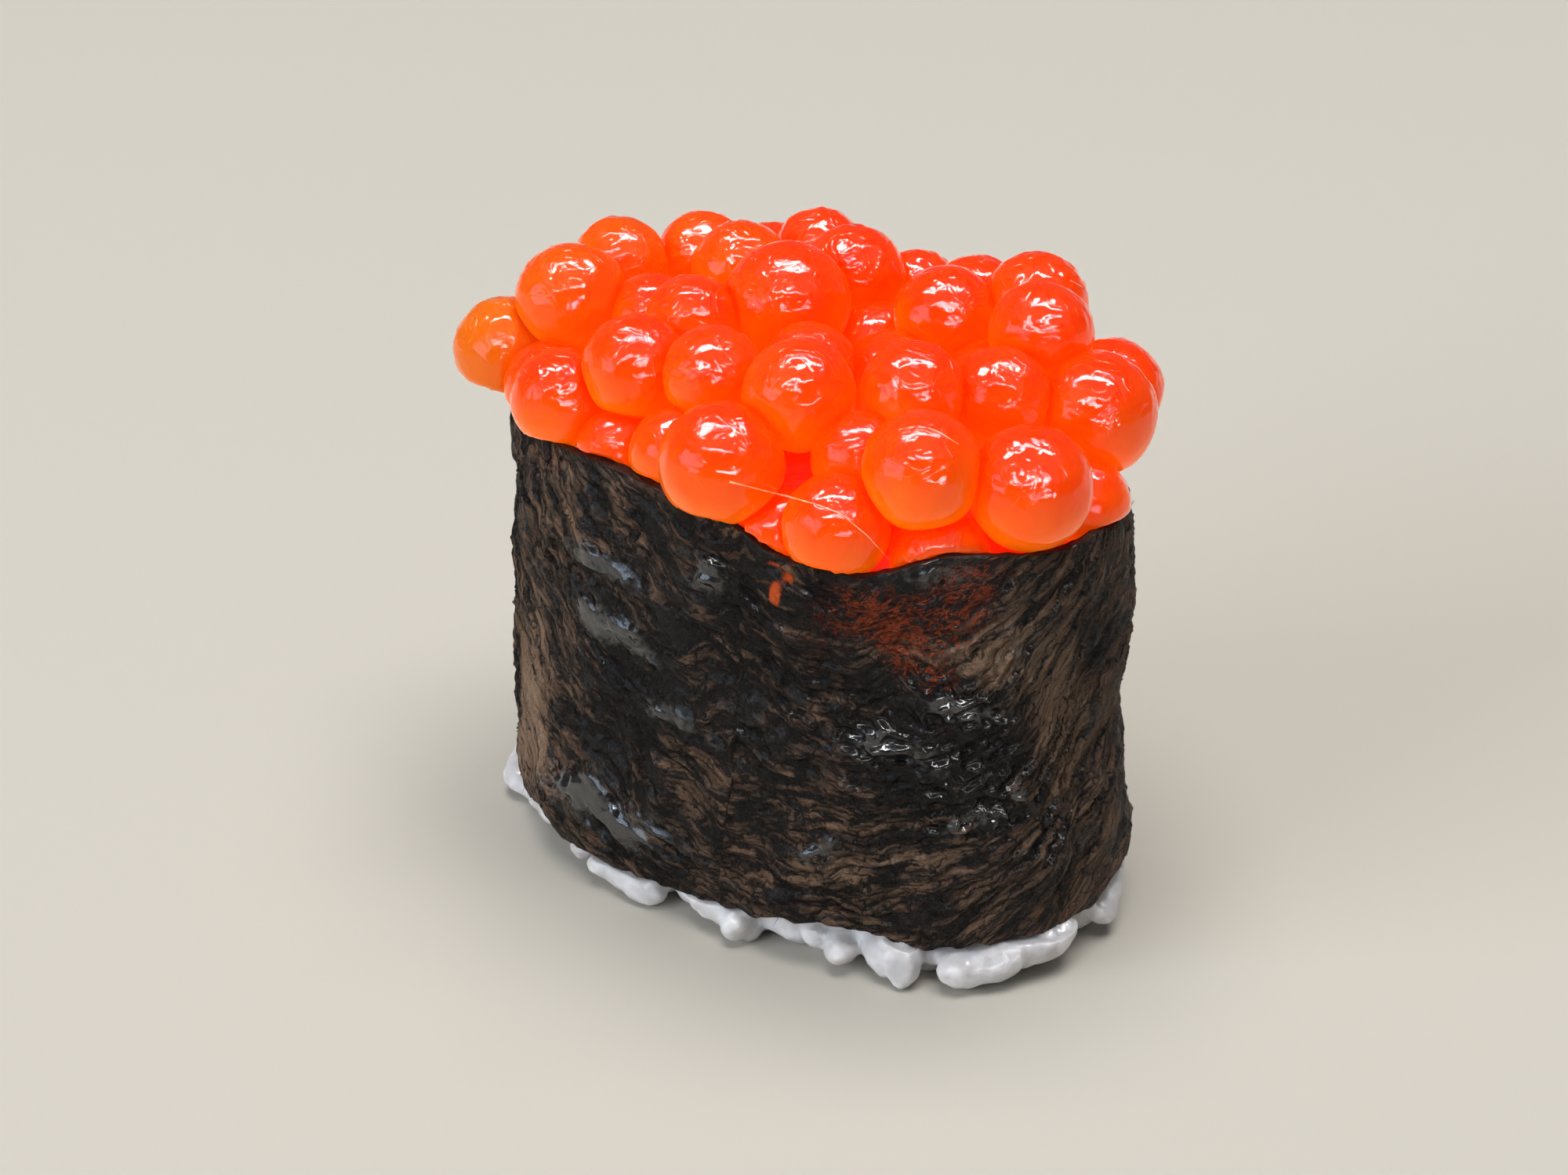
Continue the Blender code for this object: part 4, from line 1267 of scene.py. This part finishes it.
def fibre_mesh(settings):
    """Short loose fibres that stick out of the nori's two torn edges and its skin."""
    draw = random.Random(FIBRE_SEED)
    rows = []
    for number in range(settings.count):
        angle = draw.uniform(0, math.tau)
        low, high = foot_height(angle), rim_height(angle)
        height, rise = (
            (low + 0.3, -0.9), (high - 0.25, 0.9), (draw.uniform(low + 1, high - 1), 0.4),
        )[number % 3]
        _, outward = oval(angle, height)
        along = Vector((-outward.y, outward.x, 0)) * draw.uniform(-1.2, 1.2)
        way = outward * 0.4 + along + Vector((0, 0, rise * draw.uniform(0.3, 1)))
        seat = wall(angle, height, NORI_THICK - 0.1)
        rows.append({
            "place": seat, "turn": way.to_track_quat("Z", "Y").to_euler(),
            "size": draw.uniform(0.5, 1.2),
        })
    return scattered("nori_fibres", rows, fibre_shape, {
        "Thickness": settings.thickness, "Length": settings.length,
    })


# ---------------------------------------------------------------- settings


def colour_setting(name, description, default):
    return FloatVectorProperty(
        name=name, description=description, default=default, subtype="COLOR", size=3,
        min=0.0, max=1.0,
    )


def number_setting(name, description, default, unit="NONE", low=0.0, high=1000.0):
    return FloatProperty(
        name=name, description=description, default=default, min=low, max=high, unit=unit,
        precision=5 if unit == "LENGTH" else 3,
    )


def count_setting(name, description, default, low=0):
    return IntProperty(name=name, description=description, default=default, min=low)


class StageSettings(PropertyGroup):
    floor: colour_setting("Floor", "Colour of the plain floor", (0.56, 0.53, 0.47))
    sky: colour_setting("Sky", "Colour of the light from all round", (0.80, 0.88, 1.0))
    sky_strength: number_setting("Sky Strength", "Strength of the light from all round", 0.09)
    panel_power: number_setting("Panel Power", "Power of the soft light overhead", 19.0, "POWER")
    fill_power: number_setting(
        "Fill Power", "Power of the soft light from the left in front", 13.0, "POWER")
    window_power: number_setting(
        "Window Power", "Power of the cool light at the left for gloss", 4.0, "POWER")
    glow_power: number_setting(
        "Glow Power", "Power of the wide light that only gloss shows", 8.0, "POWER")
    strip_power: number_setting(
        "Strip Power", "Power of each narrow light that only gloss shows", 42.0, "POWER")


class NoriSettings(PropertyGroup):
    relief: number_setting("Relief", "How strongly the nori is creased", 1.0, high=1.5)
    dark: colour_setting("Dark", "Colour of the thick places", (0.010, 0.007, 0.006))
    brown: colour_setting("Brown", "Colour of the thin places", (0.32, 0.19, 0.12))
    # Pale also paints light along the wall's far left and right.
    pale: colour_setting("Pale", "Colour of the palest places", (0.52, 0.35, 0.235))
    # Cool is a painted reflection of cool light on the wet places.
    cool: colour_setting("Cool", "Colour of the bluish places", (0.016, 0.019, 0.024))
    stain: colour_setting("Stain", "Colour where the roe has wetted it", (0.055, 0.011, 0.006))
    streak: colour_setting("Streak", "Colour of the roe's drips", (0.75, 0.10, 0.012))


class RiceSettings(PropertyGroup):
    edge_grains: count_setting("Edge Grains", "Extra grains round the foot", 120)
    underside_grains: count_setting("Underside Grains", "Extra grains underneath", 130)
    unevenness: number_setting("Unevenness", "How uneven the grains' skins are", 1.0, high=2.0)
    milky: colour_setting("Milky", "Colour of the cloudy places", (0.76, 0.75, 0.77))
    clear: colour_setting("Clear", "Colour of the clearer places", (0.58, 0.565, 0.58))


class RoeSettings(PropertyGroup):
    swell: number_setting(
        "Swell", "How much larger the pearls are than where they only touch", 1.06, low=1.0,
        high=1.2)
    # The top and bottom colours make a gradient of painted light: the undersides are painted
    # lighter and more yellow, as if lit through.
    top: colour_setting("Top", "Colour of the pearls' tops", (1.0, 0.042, 0.0006))
    bottom: colour_setting("Bottom", "Colour of the pearls' undersides", (1.0, 0.15, 0.001))
    amber: colour_setting("Amber", "Colour of the palest pearls", (0.66, 0.14, 0.003))
    # Glow is the strength of the pearls' emission: a painted glow in place of light passed on
    # inside them.
    glow: number_setting("Glow", "How strongly the pearls pass on light", 0.4, high=1.0)
    unevenness: number_setting(
        "Unevenness", "How far a pearl strays from round, as a share", 0.022, high=0.1)
    fold: number_setting("Fold", "Depth of the soft folds in the skins", 0.0001, "LENGTH")
    crease: number_setting("Crease", "Depth of the skins' finest creases", 0.00007, "LENGTH")


class FibreSettings(PropertyGroup):
    count: count_setting("Count", "How many loose fibres the nori has", 90, 3)
    thickness: number_setting("Thickness", "Half the width of a fibre", 0.00003, "LENGTH")
    length: number_setting("Length", "Length of a fibre", 0.0009, "LENGTH")


class MembraneSettings(PropertyGroup):
    thickness: number_setting("Thickness", "Half the width of a thread", 0.00003, "LENGTH")
    colour: colour_setting("Colour", "Colour of the membrane", (1.0, 0.30, 0.07))


# ---------------------------------------------------------------- operators


def aimed(made, place, aim):
    """Puts a lamp or camera at a place, looking at another, both in millimetres."""
    made.location = place * MM
    made.rotation_euler = (aim - place).to_track_quat("-Z", "Y").to_euler()
    bpy.context.scene.collection.objects.link(made)
    return made


def area_lamp(name, place, size, power, colour):
    lamp = bpy.data.lights.new(name, "AREA")
    lamp.shape = "RECTANGLE"
    lamp.size, lamp.size_y = size[0] * MM, size[1] * MM
    lamp.energy = power
    lamp.color = colour
    return aimed(bpy.data.objects.new(name, lamp), place, LAMP_AIM)


class GUNKAN_OT_stage(Operator):
    """Adds the camera, the soft studio light and the plain pale floor"""

    bl_idname = "gunkan.stage"
    bl_label = "Stage"

    def execute(self, context):
        settings = context.scene.gunkan_stage
        camera = bpy.data.cameras.new("camera")
        camera.lens = CAMERA_LENS
        camera.sensor_width = SENSOR_WIDTH
        camera.clip_start, camera.clip_end = 0.01, 20.0
        place = CAMERA_CENTRE + Vector(BACK) * CAMERA_DISTANCE
        context.scene.camera = aimed(bpy.data.objects.new("camera", camera), place, CAMERA_AIM)

        # Each light has its turn from the camera and its rise in degrees, its distance and its
        # size in millimetres, its power, its colour, and whether only gloss shows it. Those
        # give the wet skins their bands of light, and the others light everything else.
        for name, aside, lift, away, size, power, colour, gloss in (
            ("panel", 93, 86, 1300, (1100, 900), settings.panel_power, (1, 0.98, 0.96), False),
            ("fill", -60, 20, 1330, (1000, 640), settings.fill_power, (0.88, 0.94, 1), False),
            ("glow", 0, 80, 1250, (2600, 2000), settings.glow_power, (1, 1, 1), True),
            ("window", -60, 18, 1200, (900, 500), settings.window_power, (0.66, 0.82, 1), True),
            ("strip_top", 180, 82, 1250, (1500, 140), settings.strip_power, (1, 1, 1), True),
            ("strip_front", 0, 47, 1250, (1500, 90), settings.strip_power * 0.4, (1, 1, 1), True),
            ("strip_low", 18, 13, 1250, (900, 70), settings.strip_power * 0.12, (1, 1, 1), True),
        ):
            place = Vector(direction(CAMERA_TURN + aside, lift)) * away
            lamp = area_lamp(name, place, size, power, colour)
            lamp.visible_diffuse, lamp.visible_glossy = not gloss, gloss
            lamp.visible_camera = False
        world = bpy.data.worlds.new("studio")
        world.use_nodes = True
        light = world.node_tree.nodes["Background"]
        light.inputs["Color"].default_value = (*settings.sky, 1)
        light.inputs["Strength"].default_value = settings.sky_strength
        context.scene.world = world
        context.scene.view_settings.view_transform = "Standard"

        mesh = bpy.data.meshes.new("floor")
        corners = [(x * FLOOR_HALF, y * FLOOR_HALF, 0)
                   for x, y in ((-1, -1), (1, -1), (1, 1), (-1, 1))]
        mesh.from_pydata(corners, [], [(0, 1, 2, 3)])
        floor = new_object("floor", mesh)
        surface = Surface("floor")
        mesh.materials.append(surface.shaded({
            "Base Color": (*settings.floor, 1), "Roughness": 0.9, "Specular IOR Level": 0.1,
        }))
        return {"FINISHED"}


class GUNKAN_OT_nori(Operator):
    """Wraps the creased nori strip round the rice and the roe"""

    bl_idname = "gunkan.nori"
    bl_label = "Nori"

    def execute(self, context):
        settings = context.scene.gunkan_nori
        return add_piece("nori_wrap", nori_mesh(settings), "nori", nori_material(settings))


class GUNKAN_OT_rice(Operator):
    """Presses the bed of cooked rice, with its single grains at the foot and underneath"""

    bl_idname = "gunkan.rice"
    bl_label = "Rice"

    def execute(self, context):
        settings = context.scene.gunkan_rice
        return add_piece("rice_bed", rice_mesh(settings), "rice", rice_material(settings))


class GUNKAN_OT_roe(Operator):
    """Heaps the salmon roe, whose pearls press on each other and on the nori's edge"""

    bl_idname = "gunkan.roe"
    bl_label = "Roe"

    def execute(self, context):
        settings = context.scene.gunkan_roe
        pearls = swollen(settled(filled_heap()), settings)
        return add_piece("roe_heap", roe_mesh(pearls, settings), "roe", roe_material(settings))


class GUNKAN_OT_fibres(Operator):
    """Lets short loose fibres stick out of the nori, in the nori's own finish"""

    bl_idname = "gunkan.fibres"
    bl_label = "Nori Fibres"

    def execute(self, context):
        # Lets short loose fibres stick out of the nori, in a finish of their own from near black
        # to brown
        settings = context.scene.gunkan_fibres
        surface = Surface("nori_fibre")
        shade = surface.noise(surface.place, 3.0)
        colour = surface.mix(shade, (0.01, 0.008, 0.007, 1), (0.22, 0.14, 0.09, 1))
        material = surface.shaded({"Base Color": colour, "Roughness": 0.5})
        return add_piece("nori_fibres", fibre_mesh(settings), "nori", material, False)


class GUNKAN_OT_membranes(Operator):
    """Lays a few fine threads of membrane over the roe, which has to be there already"""

    bl_idname = "gunkan.membranes"
    bl_label = "Roe Membranes"

    def execute(self, context):
        settings = context.scene.gunkan_membranes
        material = membrane_material(settings)
        return add_piece("roe_membranes", membrane_mesh(settings), "roe", material, False)


OPERATORS = (
    GUNKAN_OT_stage, GUNKAN_OT_nori, GUNKAN_OT_rice, GUNKAN_OT_roe, GUNKAN_OT_fibres,
    GUNKAN_OT_membranes,
)
SETTINGS = {
    "gunkan_stage": StageSettings, "gunkan_nori": NoriSettings,
    "gunkan_rice": RiceSettings, "gunkan_roe": RoeSettings,
    "gunkan_fibres": FibreSettings, "gunkan_membranes": MembraneSettings,
}


class GUNKAN_PT_panel(Panel):
    """Lists the pieces of the sushi"""

    bl_label = "Gunkan Sushi"
    bl_space_type = "VIEW_3D"
    bl_region_type = "UI"
    bl_category = "Gunkan"

    def draw(self, context):
        for operator, name in zip(OPERATORS, SETTINGS):
            box = self.layout.box()
            box.operator(operator.bl_idname)
            settings = getattr(context.scene, name)
            for shown in SETTINGS[name].__annotations__:
                box.prop(settings, shown)


def register():
    for group in SETTINGS.values():
        bpy.utils.register_class(group)
    for name, group in SETTINGS.items():
        setattr(bpy.types.Scene, name, PointerProperty(type=group))
    for made in (*OPERATORS, GUNKAN_PT_panel):
        bpy.utils.register_class(made)


def unregister():
    for made in reversed((*OPERATORS, GUNKAN_PT_panel)):
        bpy.utils.unregister_class(made)
    for name in reversed(SETTINGS):
        delattr(bpy.types.Scene, name)
    for group in reversed(SETTINGS.values()):
        bpy.utils.unregister_class(group)


def main():
    register()
    bpy.ops.gunkan.stage()
    bpy.ops.gunkan.nori()
    bpy.ops.gunkan.rice()
    bpy.ops.gunkan.roe()
    bpy.ops.gunkan.fibres()
    bpy.ops.gunkan.membranes()


if __name__ == "__main__":
    main()
